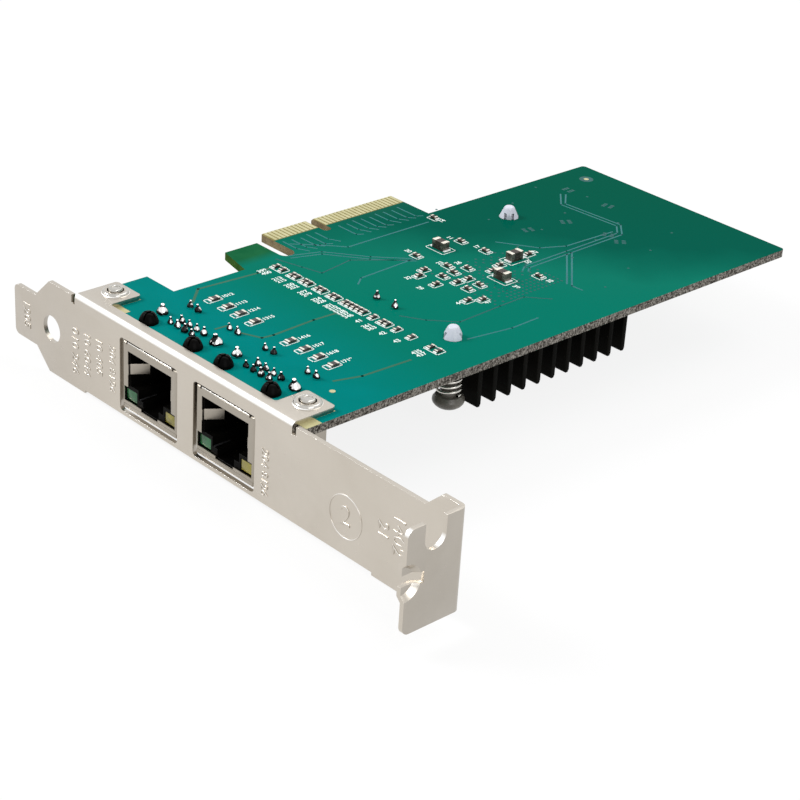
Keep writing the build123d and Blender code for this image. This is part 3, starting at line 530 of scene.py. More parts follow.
def mask_finish():
    """Green solder mask, teal near the bracket, with bare laminate at the edges and the connector tip. Its
    green carries a painted sheen: lighter near the bracket and towards larger X, darker towards the far end.
    """
    material, tree, shader = finish("solder_mask_finish", Specular_IOR_Level=0.002)
    coordinates = add(tree, "ShaderNodeTexCoord")
    place = add(tree, "ShaderNodeSeparateXYZ", {0: coordinates.outputs["Object"]})
    # Painted sheen and shade: the green is lighter near the bracket and at larger X and darker far along the
    # board, with noise adding random tone.
    across = levels(tree, place.outputs["X"], -0.1, 0.1, 0.775, -0.61)
    along = levels(tree, place.outputs["Y"], -0.1, 0.1, -0.769, 0.769)
    broad = levels(tree, spots(tree, 40, 3.0), 0.3, 0.7, 0.56, 0.64)
    shade = add(tree, "ShaderNodeMath", {0: along, 1: across}, operation="ADD").outputs[0]
    shade = add(tree, "ShaderNodeMath", {0: shade, 1: broad}, operation="ADD").outputs[0]
    green = ramp(tree, shade, ((0.1, (0.001, 0.160, 0.116)), (0.35, (0.001, 0.160, 0.112)),
                               (0.52, (0.003, 0.158, 0.108)), (0.70, (0.0, 0.090, 0.060)),
                               (1.0, (0.0, 0.088, 0.054))))
    teal = ramp(tree, spots(tree, 120), ((0.3, (0.0, 0.180, 0.168)), (0.7, (0.0, 0.196, 0.190))))
    green = blend_colour(tree, levels(tree, place.outputs["Y"], -0.043, -0.024, 0.9, 0.0), green, teal)
    up = add(tree, "ShaderNodeSeparateXYZ", {0: coordinates.outputs["Normal"]}).outputs["Z"]
    up = add(tree, "ShaderNodeMath", {0: up}, operation="ABSOLUTE").outputs[0]
    side = levels(tree, up, 0.35, 0.75, 1.0, 0.0)
    weave = ramp(tree, spots(tree, 3600, 2.0, 0.5, (1, 1, 0.8)),
                 ((0.36, (0.03, 0.027, 0.023)), (0.50, (0.14, 0.13, 0.115)), (0.64, (0.32, 0.30, 0.27))))
    tip_side = ramp(tree, spots(tree, 700), ((0.3, (0.16, 0.12, 0.07)), (0.7, (0.30, 0.24, 0.14))))
    hook_side = ramp(tree, spots(tree, 500), ((0.3, (0.03, 0.085, 0.014)), (0.7, (0.06, 0.13, 0.025))))
    hook_face = ramp(tree, spots(tree, 300), ((0.3, (0.006, 0.098, 0.036)), (0.7, (0.012, 0.12, 0.045))))
    tip_face = ramp(tree, spots(tree, 600), ((0.3, (0.20, 0.17, 0.06)), (0.7, (0.30, 0.26, 0.11))))
    in_tip = levels(tree, place.outputs["Y"], -0.0153, -0.0148, 0.0, 1.0)
    on_left = levels(tree, place.outputs["X"], 0.0112, 0.0122, 1.0, 0.0)
    on_rim = levels(tree, place.outputs["X"], 0.0043, 0.0045, 1.0, 0.0)
    edge = blend_colour(tree, on_left, weave, blend_colour(tree, in_tip, hook_side, tip_side))
    hook = levels(tree, place.outputs["X"], 0.0075, 0.0105, 1.0, 0.0)
    hook = add(tree, "ShaderNodeMath", {0: hook, 1: in_tip}, operation="SUBTRACT", use_clamp=True).outputs[0]
    hook_reach = levels(tree, place.outputs["Y"], -0.031, -0.0235, 0.0, 1.0)
    hook = add(tree, "ShaderNodeMath", {0: hook, 1: hook_reach}, operation="MULTIPLY").outputs[0]
    rim = add(tree, "ShaderNodeMath", {0: on_rim, 1: in_tip}, operation="MULTIPLY").outputs[0]
    face = blend_colour(tree, rim, blend_colour(tree, hook, green, hook_face), tip_face)
    fine = spots(tree, 3200, 3.0)
    connect(tree, shader, Base_Color=blend_colour(tree, side, face, edge),
            Roughness=levels(tree, fine, 0.3, 0.7, 0.05, 0.11),
            Normal=bump(tree, spots(tree, 260, 3.0), 0.10, 0.01))
    return material


def nickel_finish():
    """Satin nickel sheet with painted light: a painted highlight along its bends and, faintly, on faces that
    point up, and painted shade on the folded tab and towards the bracket's left end.
    """
    material, tree, shader = finish("nickel_sheet_finish", Metallic=1.0)
    coordinates = add(tree, "ShaderNodeTexCoord")
    normal = add(tree, "ShaderNodeSeparateXYZ", {0: coordinates.outputs["Normal"]})
    place = add(tree, "ShaderNodeSeparateXYZ", {0: coordinates.outputs["Object"]})
    forward = add(tree, "ShaderNodeMath", {0: normal.outputs["Y"]}, operation="ABSOLUTE").outputs[0]
    bend = add(tree, "ShaderNodeMath", {0: forward, 1: normal.outputs["Z"]}, operation="MULTIPLY").outputs[0]
    # Painted highlight: near white along the bends, where a face points partly forward and partly up, and a
    # faint share on faces that point up.
    painted_highlight_share = levels(tree, bend, 0.15, 0.38, 0.0, 1.0)
    flat = levels(tree, normal.outputs["Z"], 0.75, 0.98, 0.0, 0.05)
    painted_highlight_share = add(tree, "ShaderNodeMath", {0: painted_highlight_share, 1: flat}, operation="MAXIMUM").outputs[0]
    broad = spots(tree, 60)
    sheet = ramp(tree, broad, ((0.3, (0.565, 0.515, 0.445)), (0.7, (0.61, 0.56, 0.49))))
    # Painted shade: a darker copy of the sheet, used on faces that point along X, such as the folded tab.
    painted_tab_shade = ramp(tree, broad, ((0.3, (0.43, 0.395, 0.345)), (0.7, (0.48, 0.445, 0.395))))
    # Painted shade: a darker copy of the sheet, used towards the bracket's left end and fading out along X.
    left = ramp(tree, broad, ((0.3, (0.50, 0.455, 0.395)), (0.7, (0.54, 0.495, 0.435))))
    # Colour of the painted highlight.
    bright = ramp(tree, broad, ((0.3, (0.95, 0.94, 0.92)), (0.7, (1.0, 0.99, 0.97))))
    sheet = blend_colour(tree, levels(tree, place.outputs["X"], -0.004, 0.018, 0.9, 0.0), sheet, left)
    sheet = blend_colour(tree, levels(tree, normal.outputs["X"], 0.5, 0.95, 0.0, 0.95), sheet, painted_tab_shade)
    fine = spots(tree, 720, 4.0, 0.6)
    connect(tree, shader, Base_Color=blend_colour(tree, painted_highlight_share, sheet, bright),
            Roughness=levels(tree, fine, 0.3, 0.7, 0.27, 0.36), Normal=bump(tree, fine, 0.04, 0.008))
    return material


def tin_finish():
    """Tinned ends with painted light: cream where they face up, with painted shade darkening them down the
    sides.
    """
    material, tree, shader = finish("tinned_finish", Metallic=0.5)
    normal = add(tree, "ShaderNodeTexCoord").outputs["Normal"]
    up = add(tree, "ShaderNodeSeparateXYZ", {0: normal}).outputs["Z"]
    fine = spots(tree, 900, 3.0)
    # Painted light and shade: a cream tone where the ends face up, a near black one down their sides.
    top = ramp(tree, fine, ((0.3, (0.78, 0.73, 0.62)), (0.7, (0.95, 0.91, 0.80))))
    side = ramp(tree, fine, ((0.3, (0.05, 0.042, 0.035)), (0.7, (0.24, 0.21, 0.18))))
    connect(tree, shader, Base_Color=blend_colour(tree, levels(tree, up, 0.2, 0.8, 0.0, 1.0), side, top),
            Roughness=levels(tree, fine, 0.3, 0.7, 0.16, 0.3), Normal=bump(tree, fine, 0.2, 0.02))
    return material


def solder_finish():
    """Bright solder with a painted reflection: light at the rim and the crown, its flanks painted dark
    between them, the dark band shifted by which way each flank faces along X.
    """
    material, tree, shader = finish("solder_finish", Metallic=1.0)
    normal = add(tree, "ShaderNodeSeparateXYZ", {0: add(tree, "ShaderNodeTexCoord").outputs["Normal"]})
    fine = spots(tree, 900, 3.0)
    # Painted reflection: the colour follows how far each face turns up, shifted a little by noise and by
    # facing along X, so the flanks come out dark and the rim and crown light.
    uneven = levels(tree, fine, 0.3, 0.7, -0.25, 0.25)
    sideways = levels(tree, normal.outputs["X"], -1.0, 1.0, -0.22, 0.16)
    turn = add(tree, "ShaderNodeMath", {0: normal.outputs["Z"], 1: uneven}, operation="ADD").outputs[0]
    turn = add(tree, "ShaderNodeMath", {0: turn, 1: sideways}, operation="ADD").outputs[0]
    connect(tree, shader,
            Base_Color=ramp(tree, turn, ((0.0, (0.80, 0.80, 0.79)), (0.08, (0.025, 0.025, 0.025)),
                                         (0.50, (0.02, 0.02, 0.02)), (0.60, (0.86, 0.86, 0.85)))),
            Roughness=levels(tree, fine, 0.3, 0.7, 0.03, 0.12), Normal=bump(tree, fine, 0.15, 0.02))
    return material


def nylon_finish():
    """Natural nylon: bluish white at the barb, with painted shade that darkens it to a warm dark tone on the
    cap's side of the board.
    """
    material, tree, shader = finish("white_nylon_finish", Specular_IOR_Level=0.45)
    place = add(tree, "ShaderNodeTexCoord").outputs["Object"]
    height = add(tree, "ShaderNodeSeparateXYZ", {0: place}).outputs["Z"]
    # Painted shade: below the board, where the cap lies in the card's shadow, the nylon is coloured a warm
    # dark tone.
    upper = levels(tree, height, -0.002, 0.0006, 0.0, 1.0)
    cloud = spots(tree, 300)
    white = ramp(tree, cloud, ((0.3, (0.60, 0.62, 0.72)), (0.7, (0.68, 0.70, 0.79))))
    painted_shade_tone = ramp(tree, cloud, ((0.3, (0.10, 0.092, 0.078)), (0.7, (0.14, 0.13, 0.112))))
    fine = spots(tree, 2500, 3.0)
    connect(tree, shader, Base_Color=blend_colour(tree, upper, painted_shade_tone, white),
            Roughness=levels(tree, fine, 0.3, 0.7, 0.26, 0.36), Normal=bump(tree, fine, 0.1, 0.01))
    return material


FINISHES = {
    "nickel": nickel_finish(),
    # A near white metal that paints the highlight on the shields' top folds.
    "bright": simple_finish("painted_fold_highlight_finish", (0.86, 0.84, 0.80), (0.94, 0.92, 0.88), 1.0,
                            (0.12, 0.2), 80, 0.04),
    "gold": simple_finish("gold_plate_finish", (0.53, 0.49, 0.24), (0.64, 0.60, 0.34), 0.75,
                          (0.30, 0.42), 300, 0.1),
    "shield": simple_finish("shield_tin_finish", (0.35, 0.315, 0.262), (0.42, 0.382, 0.328), 1.0,
                            (0.30, 0.38), 60, 0.03, grain=0.008),
    "black": simple_finish("black_moulding_finish", (0.0015, 0.0015, 0.0015), (0.004, 0.0035, 0.003), 0.0,
                           (0.22, 0.36), 350, 0.15, grain=0.01, Specular_IOR_Level=0.03),
    "green_lens": simple_finish("green_lens_finish", (0.004, 0.040, 0.012), (0.022, 0.165, 0.055), 0.0,
                                (0.06, 0.12), 320, 0.1, Specular_IOR_Level=0.5),
    "yellow_lens": simple_finish("yellow_lens_finish", (0.09, 0.08, 0.010), (0.33, 0.28, 0.045), 0.0,
                                 (0.06, 0.12), 320, 0.1, Specular_IOR_Level=0.5),
    "smoke_lens": simple_finish("smoke_lens_finish", (0.02, 0.02, 0.022), (0.05, 0.05, 0.055), 0.0,
                                (0.05, 0.12), 500, 0.1, Specular_IOR_Level=0.8),
    "tin": tin_finish(),
    "screw": simple_finish("screw_plate_finish", (0.50, 0.485, 0.45), (0.62, 0.60, 0.56), 1.0,
                           (0.12, 0.20), 500, 0.08),
    "anodised": simple_finish("black_anodised_finish", (0.0015, 0.0014, 0.001), (0.004, 0.0035, 0.0025), 0.0,
                              (0.42, 0.6), 200, 0.15, stretch=(0.05, 1, 1), Specular_IOR_Level=0.02),
    "thermal": simple_finish("thermal_pad_finish", (0.30, 0.32, 0.35), (0.42, 0.44, 0.47), 0.0,
                             (0.6, 0.8), 700, 0.4),
    "nylon": nylon_finish(),
    "spring": simple_finish("spring_wire_finish", (0.50, 0.48, 0.44), (0.72, 0.70, 0.66), 1.0,
                            (0.12, 0.24), 700, 0.15),
    "package": simple_finish("moulded_package_finish", (0.016, 0.016, 0.018), (0.03, 0.03, 0.033), 0.0,
                             (0.45, 0.65), 1200, 0.4),
    "can": simple_finish("metal_can_finish", (0.52, 0.52, 0.52), (0.68, 0.68, 0.68), 1.0,
                         (0.25, 0.4), 200, 0.15),
    "resistor": simple_finish("resistor_glaze_finish", (0.010, 0.008, 0.007), (0.05, 0.042, 0.038), 0.0,
                              (0.2, 0.35), 1400, 0.2),
    "ceramic": simple_finish("brown_ceramic_finish", (0.008, 0.005, 0.004), (0.045, 0.026, 0.015), 0.0,
                             (0.4, 0.6), 900, 0.3),
    "solder": solder_finish(),
    "pad": simple_finish("wetted_pad_finish", (0.86, 0.88, 0.86), (0.98, 0.99, 0.98), 0.15,
                         (0.1, 0.3), 900, 0.12),
    "silk": simple_finish("white_print_finish", (0.72, 0.84, 0.80), (0.86, 0.93, 0.90), 0.0,
                          (0.5, 0.7), 1500, 0.2),
    "copper_light": simple_finish("masked_copper_finish", (0.001, 0.125, 0.140), (0.003, 0.165, 0.165), 0.0,
                                  (0.12, 0.18), 200, 0.05, Specular_IOR_Level=0.15),
    "copper_gap": simple_finish("masked_gap_finish", (0.014, 0.112, 0.062), (0.026, 0.130, 0.072), 0.0,
                                (0.12, 0.18), 200, 0.05, Specular_IOR_Level=0.1),
    "copper_dark": simple_finish("masked_track_finish", (0.0, 0.080, 0.078), (0.0, 0.098, 0.092), 0.0,
                                 (0.12, 0.18), 200, 0.05, Specular_IOR_Level=0.1),
    "mask": mask_finish(),
}


# Camera, light and floor


def camera():
    """The photograph's viewpoint, from its turn, rise and roll."""
    turn, rise, roll = (math.radians(value) for value in (CAMERA_TURN, CAMERA_RISE, CAMERA_ROLL))
    back = Vector((math.sin(turn) * math.cos(rise), -math.cos(turn) * math.cos(rise), math.sin(rise)))
    right = Vector((0, 0, 1)).cross(back).normalized()
    up = back.cross(right)
    level_right = right * math.cos(roll) + up * math.sin(roll)
    level_up = up * math.cos(roll) - right * math.sin(roll)
    lens = bpy.data.cameras.new("photo_camera")
    lens.sensor_width = SENSOR
    lens.lens = SENSOR * CAMERA_FOCAL_PIXELS / FRAME_PIXELS
    lens.clip_start = 0.01
    lens.clip_end = 20
    holder = bpy.data.objects.new("photo_camera", lens)
    turned_axes = Matrix((level_right, level_up, back)).transposed()
    holder.matrix_world = Matrix.Translation(at(*CAMERA_PLACE)) @ turned_axes.to_4x4()
    bpy.context.scene.collection.objects.link(holder)
    bpy.context.scene.camera = holder


def lamp(name, place, target, size, power):
    """A soft rectangular lamp aimed at a place on the card."""
    data = bpy.data.lights.new(name, "AREA")
    data.shape = "RECTANGLE"
    data.size, data.size_y = size
    data.energy = power
    holder = bpy.data.objects.new(name, data)
    holder.location = place
    holder.rotation_euler = (Vector(target) - Vector(place)).to_track_quat("-Z", "Y").to_euler()
    bpy.context.scene.collection.objects.link(holder)


def seen_rays(tree):
    """One for camera, glossy and transmission rays, so that metal and glass show the background too."""
    path = add(tree, "ShaderNodeLightPath")
    seen = path.outputs["Is Camera Ray"]
    for kind in ("Is Glossy Ray", "Is Transmission Ray"):
        seen = add(tree, "ShaderNodeMath", {0: seen, 1: path.outputs[kind]}, operation="MAXIMUM").outputs[0]
    return seen


def studio():
    """Pale floor, white surroundings and soft lamps."""
    world = bpy.data.worlds.new("studio_world")
    bpy.context.scene.world = world
    world.use_nodes = True
    tree = world.node_tree
    direction = add(tree, "ShaderNodeTexCoord").outputs["Generated"]
    height = add(tree, "ShaderNodeSeparateXYZ", {0: direction}).outputs["Z"]
    sky = ramp(tree, height, ((0.0, (0.30, 0.30, 0.30)), (0.5, (0.45, 0.45, 0.45)), (1.0, (1.0, 1.0, 1.0))))
    strength = add(tree, "ShaderNodeMath", {0: seen_rays(tree), 1: sky}, operation="MAXIMUM").outputs[0]
    tree.links.new(strength, tree.nodes["Background"].inputs["Strength"])
    tree.nodes["Background"].inputs["Color"].default_value = (1, 1, 1, 1)
    select_only()
    low = cad_box[0][2]
    bpy.ops.mesh.primitive_plane_add(size=FLOOR_SIZE, location=(0, 0, low - FLOOR_GAP))
    floor = settle(bpy.context.object, "studio_floor")
    material, tree, shader = finish("pale_floor_finish", Roughness=0.8)
    shader.inputs["Specular IOR Level"].default_value = 0.1
    pale = ramp(tree, spots(tree, 3), ((0.3, (0.86, 0.86, 0.86)), (0.7, (0.88, 0.88, 0.88))))
    connect(tree, shader, Base_Color=pale)
    glow = add(tree, "ShaderNodeEmission", {"Color": (1, 1, 1, 1), "Strength": 1.0})
    share = add(tree, "ShaderNodeMath", {0: seen_rays(tree), 1: FLOOR_WHITE_SHARE}, operation="MULTIPLY")
    mixed = add(tree, "ShaderNodeMixShader", {0: share.outputs[0], 1: shader.outputs[0], 2: glow.outputs[0]})
    tree.links.new(mixed.outputs[0], tree.nodes["Material Output"].inputs["Surface"])
    floor.data.materials.append(material)
    lamp("key_lamp", (-0.72, -0.58, 0.80), (0.03, 0.0, 0.0), (0.5, 0.4), 8.2)
    lamp("fill_lamp", (0.9, -0.25, 0.45), (0.03, 0.0, 0.0), (0.6, 0.6), 2.4)
    lamp("top_lamp", (0.1, 0.7, 1.1), (0.03, 0.02, 0.0), (1.0, 0.8), 4.4)


# Pieces


def stamp(text, x, z, size, turn=-90):
    """Plain raised digits on the bracket's front face, read downwards."""
    piece = digits(text, size, extrude=STAMP_HALF_DEPTH, bevel_depth=STAMP_ROUNDING, offset=-STAMP_THINNING)
    upright = Matrix.Rotation(math.radians(90), 4, "X") @ Matrix.Rotation(math.radians(turn), 4, "Z")
    piece.data.transform(Matrix.Translation(Vector((x, 0, z)) * MM) @ upright)
    return piece


def ring(name, x, z, radius, stroke):
    """A raised ring on the bracket's front face: a round section spun about the ring's middle."""
    select_only()
    bpy.ops.mesh.primitive_circle_add(vertices=8, radius=stroke * MM,
                                      location=((x + radius) * MM, RING_DEPTH * MM, z * MM))
    piece = bpy.context.object
    bpy.ops.object.mode_set(mode="EDIT")
    bpy.ops.mesh.select_all(action="SELECT")
    bpy.ops.mesh.spin(steps=64, angle=2 * math.pi, center=(x * MM, RING_DEPTH * MM, z * MM), axis=(0, 1, 0))
    bpy.ops.mesh.select_all(action="SELECT")
    bpy.ops.mesh.remove_doubles(threshold=MERGE_DISTANCE * MM)
    bpy.ops.mesh.normals_make_consistent(inside=False)
    bpy.ops.object.mode_set(mode="OBJECT")
    return settle(piece, name)


def bracket():
    """Folded sheet with plain raised numbers, and the collars that the screws end in, with black plugs in
    their bores as painted shadow.
    """
    piece = cad_copy("bracket", "nickel_bracket", 0.11, 3, 25)
    finish_piece(piece, "nickel", "bracket")
    stamps = [stamp(text, x, z, size) for text, x, z, size in STAMPS]
    stamps.append(stamp("2", RING_X, RING_Z, RING_DIGIT_SIZE, 0))
    stamps.append(ring("ring_outer", RING_X, RING_Z, RING_RADIUS, RING_STROKE))
    raised = move_to_frame(join("stamped_digits", stamps))
    smooth(raised, 40)
    finish_piece(raised, "nickel", "bracket")
    collars = [turned("collar", x, SCREW_Y, COLLAR_RINGS, 40, 50) for x in SCREW_X]
    collars = move_to_frame(join("flange_collars", collars))
    finish_piece(collars, "screw", "bracket")
    # Painted shadow: black cylinders in the collars' bores darken the gap around each screw's end.
    shadow_plugs = [turned("shadow_plug", x, SCREW_Y, SHADOW_PLUG_RINGS, 32) for x in SCREW_X]
    finish_piece(move_to_frame(join("collar_shadow_plugs", shadow_plugs)), "black", "bracket")


def outline(name, length, width, stroke):
    """Printed rectangle outline, centred on the drawing's corner."""
    low, high = SOLDER_SIDE - SUNK, SOLDER_SIDE + PRINT_RISE
    sides = [slab("side", 0, end * (width - stroke) / 2, length, stroke, low, high) for end in (-1, 1)]
    sides += [slab("side", end * (length - stroke) / 2, 0, stroke, width, low, high) for end in (-1, 1)]
    return join(name, sides)


def tracks(name, routes, width, material):
    """Tracks under the mask, as thin strips along each route."""
    pattern = slab("strip", 0, 0, 1, 1, 0, 1)
    moves = []
    for route in routes:
        for (x0, y0), (x1, y1) in zip(route, route[1:]):
            length = math.hypot(x1 - x0, y1 - y0) + width
            turn = math.degrees(math.atan2(y1 - y0, x1 - x0))
            size = Matrix.Diagonal((length, width, TRACK_RISE + 2 * SUNK, 1))
            moves.append(shift((x0 + x1) / 2, (y0 + y1) / 2, SOLDER_SIDE - 2 * SUNK, turn) @ size)
    piece = move_to_frame(spread(pattern, name, moves))
    finish_piece(piece, material, "circuit_board")


def beside(route, gap):
    """A route shifted sideways by a gap."""
    moved = []
    for i, (x, y) in enumerate(route):
        x0, y0 = route[max(i - 1, 0)]
        x1, y1 = route[min(i + 1, len(route) - 1)]
        length = math.hypot(x1 - x0, y1 - y0) or 1
        moved.append((x - gap * (y1 - y0) / length, y + gap * (x1 - x0) / length))
    return moved


def disc(name, x, y, radius, rise, sides):
    """A thin round plate on the solder side."""
    return turned(name, x, y, ((radius, SOLDER_SIDE - SUNK), (radius, SOLDER_SIDE + rise)), sides)


def via_places():
    """An even field of vias with gaps in it, and a loose scatter on the far part."""
    field = [(49.5 + VIA_PITCH * i, 60.5 + VIA_PITCH * j) for i in range(17) for j in range(18)
             if (i * 7 + j * 5) % 11 < 5 or (i > 11 and j > 4)]
    return field + [(27 + 3.3 * i, 83 + 5.1 * ((i * 5) % 7)) for i in range(15)]


def fan_routes():
    """Short tracks that leave the edge contacts, with none at the key notch."""
    routes = []
    for i in range(FAN_COUNT):
        if i not in FAN_NOTCH:
            y = FAN_START + FAN_PITCH * i
            routes.append(((21.6 + 0.3 * (i % 3), y), (25.6 + 0.5 * (i % 4), y), (27.8, y + 1.2)))
    return routes


def board():
    """Board with its tracks, vias, lands and gold marks."""
    piece = cad_copy("circuit_board", "mask_board", 0.03, 1, 30)
    finish_piece(piece, "mask", "circuit_board")
    tracks("pour_gaps", GAP_ROUTES, GAP_WIDTH, "copper_gap")
    tracks("light_tracks", LIGHT_ROUTES, LIGHT_WIDTH, "copper_light")
    pairs = [beside(route, gap) for route in PAIR_ROUTES for gap in (-PAIR_GAP, PAIR_GAP)]
    tracks("paired_tracks", pairs, PAIR_WIDTH, "copper_light")
    tracks("dark_tracks", DARK_ROUTES, DARK_WIDTH, "copper_dark")
    tracks("contact_fans", fan_routes(), DARK_WIDTH, "copper_light")
    via = disc("via", 0, 0, VIA_RADIUS, VIA_RISE, 10)
    vias = spread(via, "board_vias", [shift(x, y) for x, y in via_places()])
    finish_piece(move_to_frame(vias), "copper_dark", "circuit_board")
    low, high = SOLDER_SIDE - SUNK, SOLDER_SIDE + LAND_RISE
    lands = [slab("land", end * LAND_SIDE, row * LAND_ROW, *LAND_SIZE, low, high)
             for end in (-1, 1) for row in (-1, 0, 1)]
    lands = spread(join("land_group", lands), "bare_lands",
                   [shift(x, y, 0, 15 * i) for i, (x, y) in enumerate(FOOTPRINTS)])
    finish_piece(move_to_frame(lands), "copper_dark", "circuit_board")
    marks = [disc("mark", x, y, MARK_RADIUS, MARK_RISE, 24) for x, y in (NEAR_MARK, FAR_MARK)]
    finish_piece(move_to_frame(join("gold_marks", marks)), "gold", "circuit_board")
    moat = disc("mark_moat", *FAR_MARK, MOAT_RADIUS, MOAT_RISE, 32)
    finish_piece(move_to_frame(moat), "copper_dark", "circuit_board")


def printing():
    """Printed outlines and plain numbers beside the parts."""
    parts = [spread(outline("frame", length, width, stroke), name, [shift(x, y) for x in row])
             for name, length, width, stroke, row, y in PRINT_FRAMES]
    labels = [(1012 + 101 * i, x, NEAR_LABEL_Y, 1.3, 90) for i, x in enumerate(NEAR_ROW)]
    labels += [(214 + 37 * i + row, x - 0.6 + 0.62 * row, FAR_LABEL_Y, 1.45, 90)
               for i, x in enumerate(PAIR_ROW + WIDE_ROW) for row in (-1, 1)]
    labels += [(301 + 9 * i, 48.7 + 1.1 * i, FAR_LABEL_Y, 1.4, 90) for i in range(6)]
    labels += [(41 + i, x - 0.5, FAR_LABEL_Y + 0.2, 1.5, 90) for i, x in enumerate(SINGLE_ROW)]
    labels += [(11 + 3 * i, x, y, 1.45, 90 if i % 3 else 0) for i, (x, y) in enumerate(CAP_LABELS)]
    for value, x, y, size, turn in labels:
        label = digits(str(value), size, offset=DIGIT_WEIGHT)
        label.data.transform(shift(x, y, SOLDER_SIDE + PRINT_RISE, turn))
        parts.append(label)
    piece = move_to_frame(join("board_printing", parts))
    finish_piece(piece, "silk", "circuit_board")


def solder_joints():
    """Full drops of solder, each with a slim wetted pin at its top, on every joint of the CAD."""
    for node, name, radius, height in (("pin_solder_joints", "pin_joints", 0.68, 1.6),
                                       ("shield_solder_joints", "shield_joints", 1.2, 2.1)):
        rings = [(radius * wide, height * high) for wide, high in DROP_RINGS]
        pattern = turned("joint_pattern", 0, 0, rings, 24, 70)
        moves = []
        for i, (low, high) in enumerate(islands(node)):
            size = 1 + 0.10 * math.sin(2.3 * i)
            lean = Matrix.Rotation(0.10 * math.sin(1.7 * i), 4, "X")
            lean = lean @ Matrix.Rotation(0.08 * math.cos(2.9 * i), 4, "Y")
            place = shift((low.x + high.x) / 2, (low.y + high.y) / 2, SOLDER_SIDE, 50 * i)
            moves.append(place @ lean @ Matrix.Diagonal((size, size * 0.94, size, 1)))
        piece = spread(pattern, name, moves)
        finish_piece(move_to_frame(piece), "solder", node)


def chip_parts(node, prefix, body_finish, body_slot, cap_share, grow, frames=0.0):
    """Chip bodies with tinned end caps and solder pads at each CAD block, printed frames around them."""
    bodies = []
    caps = []
    pads = []
    prints = []
    for low, high in islands(node):
        axis = 0 if high.x - low.x > high.y - low.y else 1
        cap = (high[axis] - low[axis]) * cap_share
        inner_low, inner_high = low.copy(), high.copy()
        inner_low[axis] += cap * CAP_CLEAR
        inner_high[axis] -= cap * CAP_CLEAR
        inner_high.z -= BODY_INSET
        inner_low[1 - axis] += BODY_INSET
        inner_high[1 - axis] -= BODY_INSET
        bodies.append(box("chip_body", inner_low, inner_high, 0.05, 1))
        for start, end, outer in ((low[axis], low[axis] + cap, -1), (high[axis] - cap, high[axis], 1)):
            cap_low, cap_high = low.copy(), high.copy()
            cap_low[axis], cap_high[axis] = start, end
            caps.append(box("chip_cap", cap_low, cap_high, 0.08, 2))
            pad_low, pad_high = low.copy(), high.copy()
            pad_low[axis] = start - (grow if outer < 0 else 0)
            pad_high[axis] = end + (grow if outer > 0 else 0)
            pad_low.z -= SUNK
            pad_high.z = low.z + PAD_HEIGHT
            pads.append(box("chip_pad", pad_low, pad_high, 0.1, 2))
        if frames:
            rim = outline("chip_frame", high.x - low.x + frames, high.y - low.y + frames, CHIP_FRAME_STROKE)
            rim.data.transform(shift((low.x + high.x) / 2, (low.y + high.y) / 2))
            prints.append(rim)
    for name, pieces, material, slot in ((prefix + "_bodies", bodies, body_finish, body_slot),
                                         (prefix + "_end_caps", caps, "tin", "tinned_metal"),
                                         (prefix + "_pads", pads, "pad", "solder"),
                                         (prefix + "_frames", prints, "silk", "solder_mask")):
        if pieces:
            finish_piece(move_to_frame(join(name, pieces)), material,
                         "circuit_board" if material == "silk" else node)


def board_pegs(side, port):
    """Smooth split pegs over the housing's faceted ones."""
    pattern = turned("peg", 0, 0, PEG_RINGS, 36, 40)
    cut(pattern, [box("slit", (-0.16, -3, 0.9), (0.16, 3, 3)), box("slit", (-3, -0.16, 1.15), (3, 0.16, 3)),
                  turned("bore", 0, 0, PEG_BORE_RINGS, 16)])
    smooth(pattern, 35)
    piece = spread(pattern, "port_pegs_" + side,
                   [shift(port + end * PEG_SIDE, PEG_Y, SOLDER_SIDE, 20) for end in (-1, 1)])
    finish_piece(move_to_frame(piece), "black", "port_housing_" + side)


def lamp_guides(node, inner, end):
    """Smoked guides of a lamp: one beside it towards the port's middle, and one above it."""
    near, far = sorted((inner, inner - end * 0.8))
    guides = [box("guide", (near, 0.8, 3.9), (far, 4.5, 5.0), 0.12, 2)]
    near, far = sorted((inner, inner + end * 1.2))
    guides.append(box("guide", (near, 0.9, 6.0), (far, 3.0, 6.5), 0.1, 2))
    return join(node + "_guide", guides)


def ports():
    """Shields, housings, contacts, lamps and leads."""
    for side, port in zip(("left", "right"), PORT_X):
        shield = cad_copy("port_shield_" + side, "shield_" + side, 0.07, 2, 30)
        finish_piece(shield, "shield", "port_shield_" + side)
        # Painted highlight: a strip of near white metal, far paler than the shield, laid along the top fold
        # of the shield's front.
        strip = box("painted_fold_highlight_" + side, (port - FOLD_HALF_WIDTH, 0.2, 15.2),
                    (port + FOLD_HALF_WIDTH, 0.52, 15.44), 0.1, 3)
        finish_piece(move_to_frame(strip), "bright", "port_shield_" + side)
        sill = box("shield_sill_" + side, (port - SILL_HALF_WIDTH, 0.3, 2.1),
                   (port + SILL_HALF_WIDTH, 0.62, 2.95), 0.1, 2)
        finish_piece(move_to_frame(sill), "shield", "port_shield_" + side)
        housing = cad_copy("port_housing_" + side, "housing_" + side, 0.04, 1, 30)
        drop_above(housing, SOLDER_SIDE + 0.05)
        finish_piece(housing, "black", "port_housing_" + side)
        board_pegs(side, port)
        for colour, end in (("green", -1), ("yellow", 1)):
            node = colour + "_lamp_" + side
            lens = cad_copy(node, node + "_lens", 0.16, 3)
            finish_piece(lens, colour + "_lens", node)
            guide = move_to_frame(lamp_guides(node, port + end * LAMP_SIDE, end))
            finish_piece(guide, "smoke_lens", node)
        dress_in_place("port_contacts_" + side, "gold")
        dress_in_place("lamp_leads_" + side, "tin")


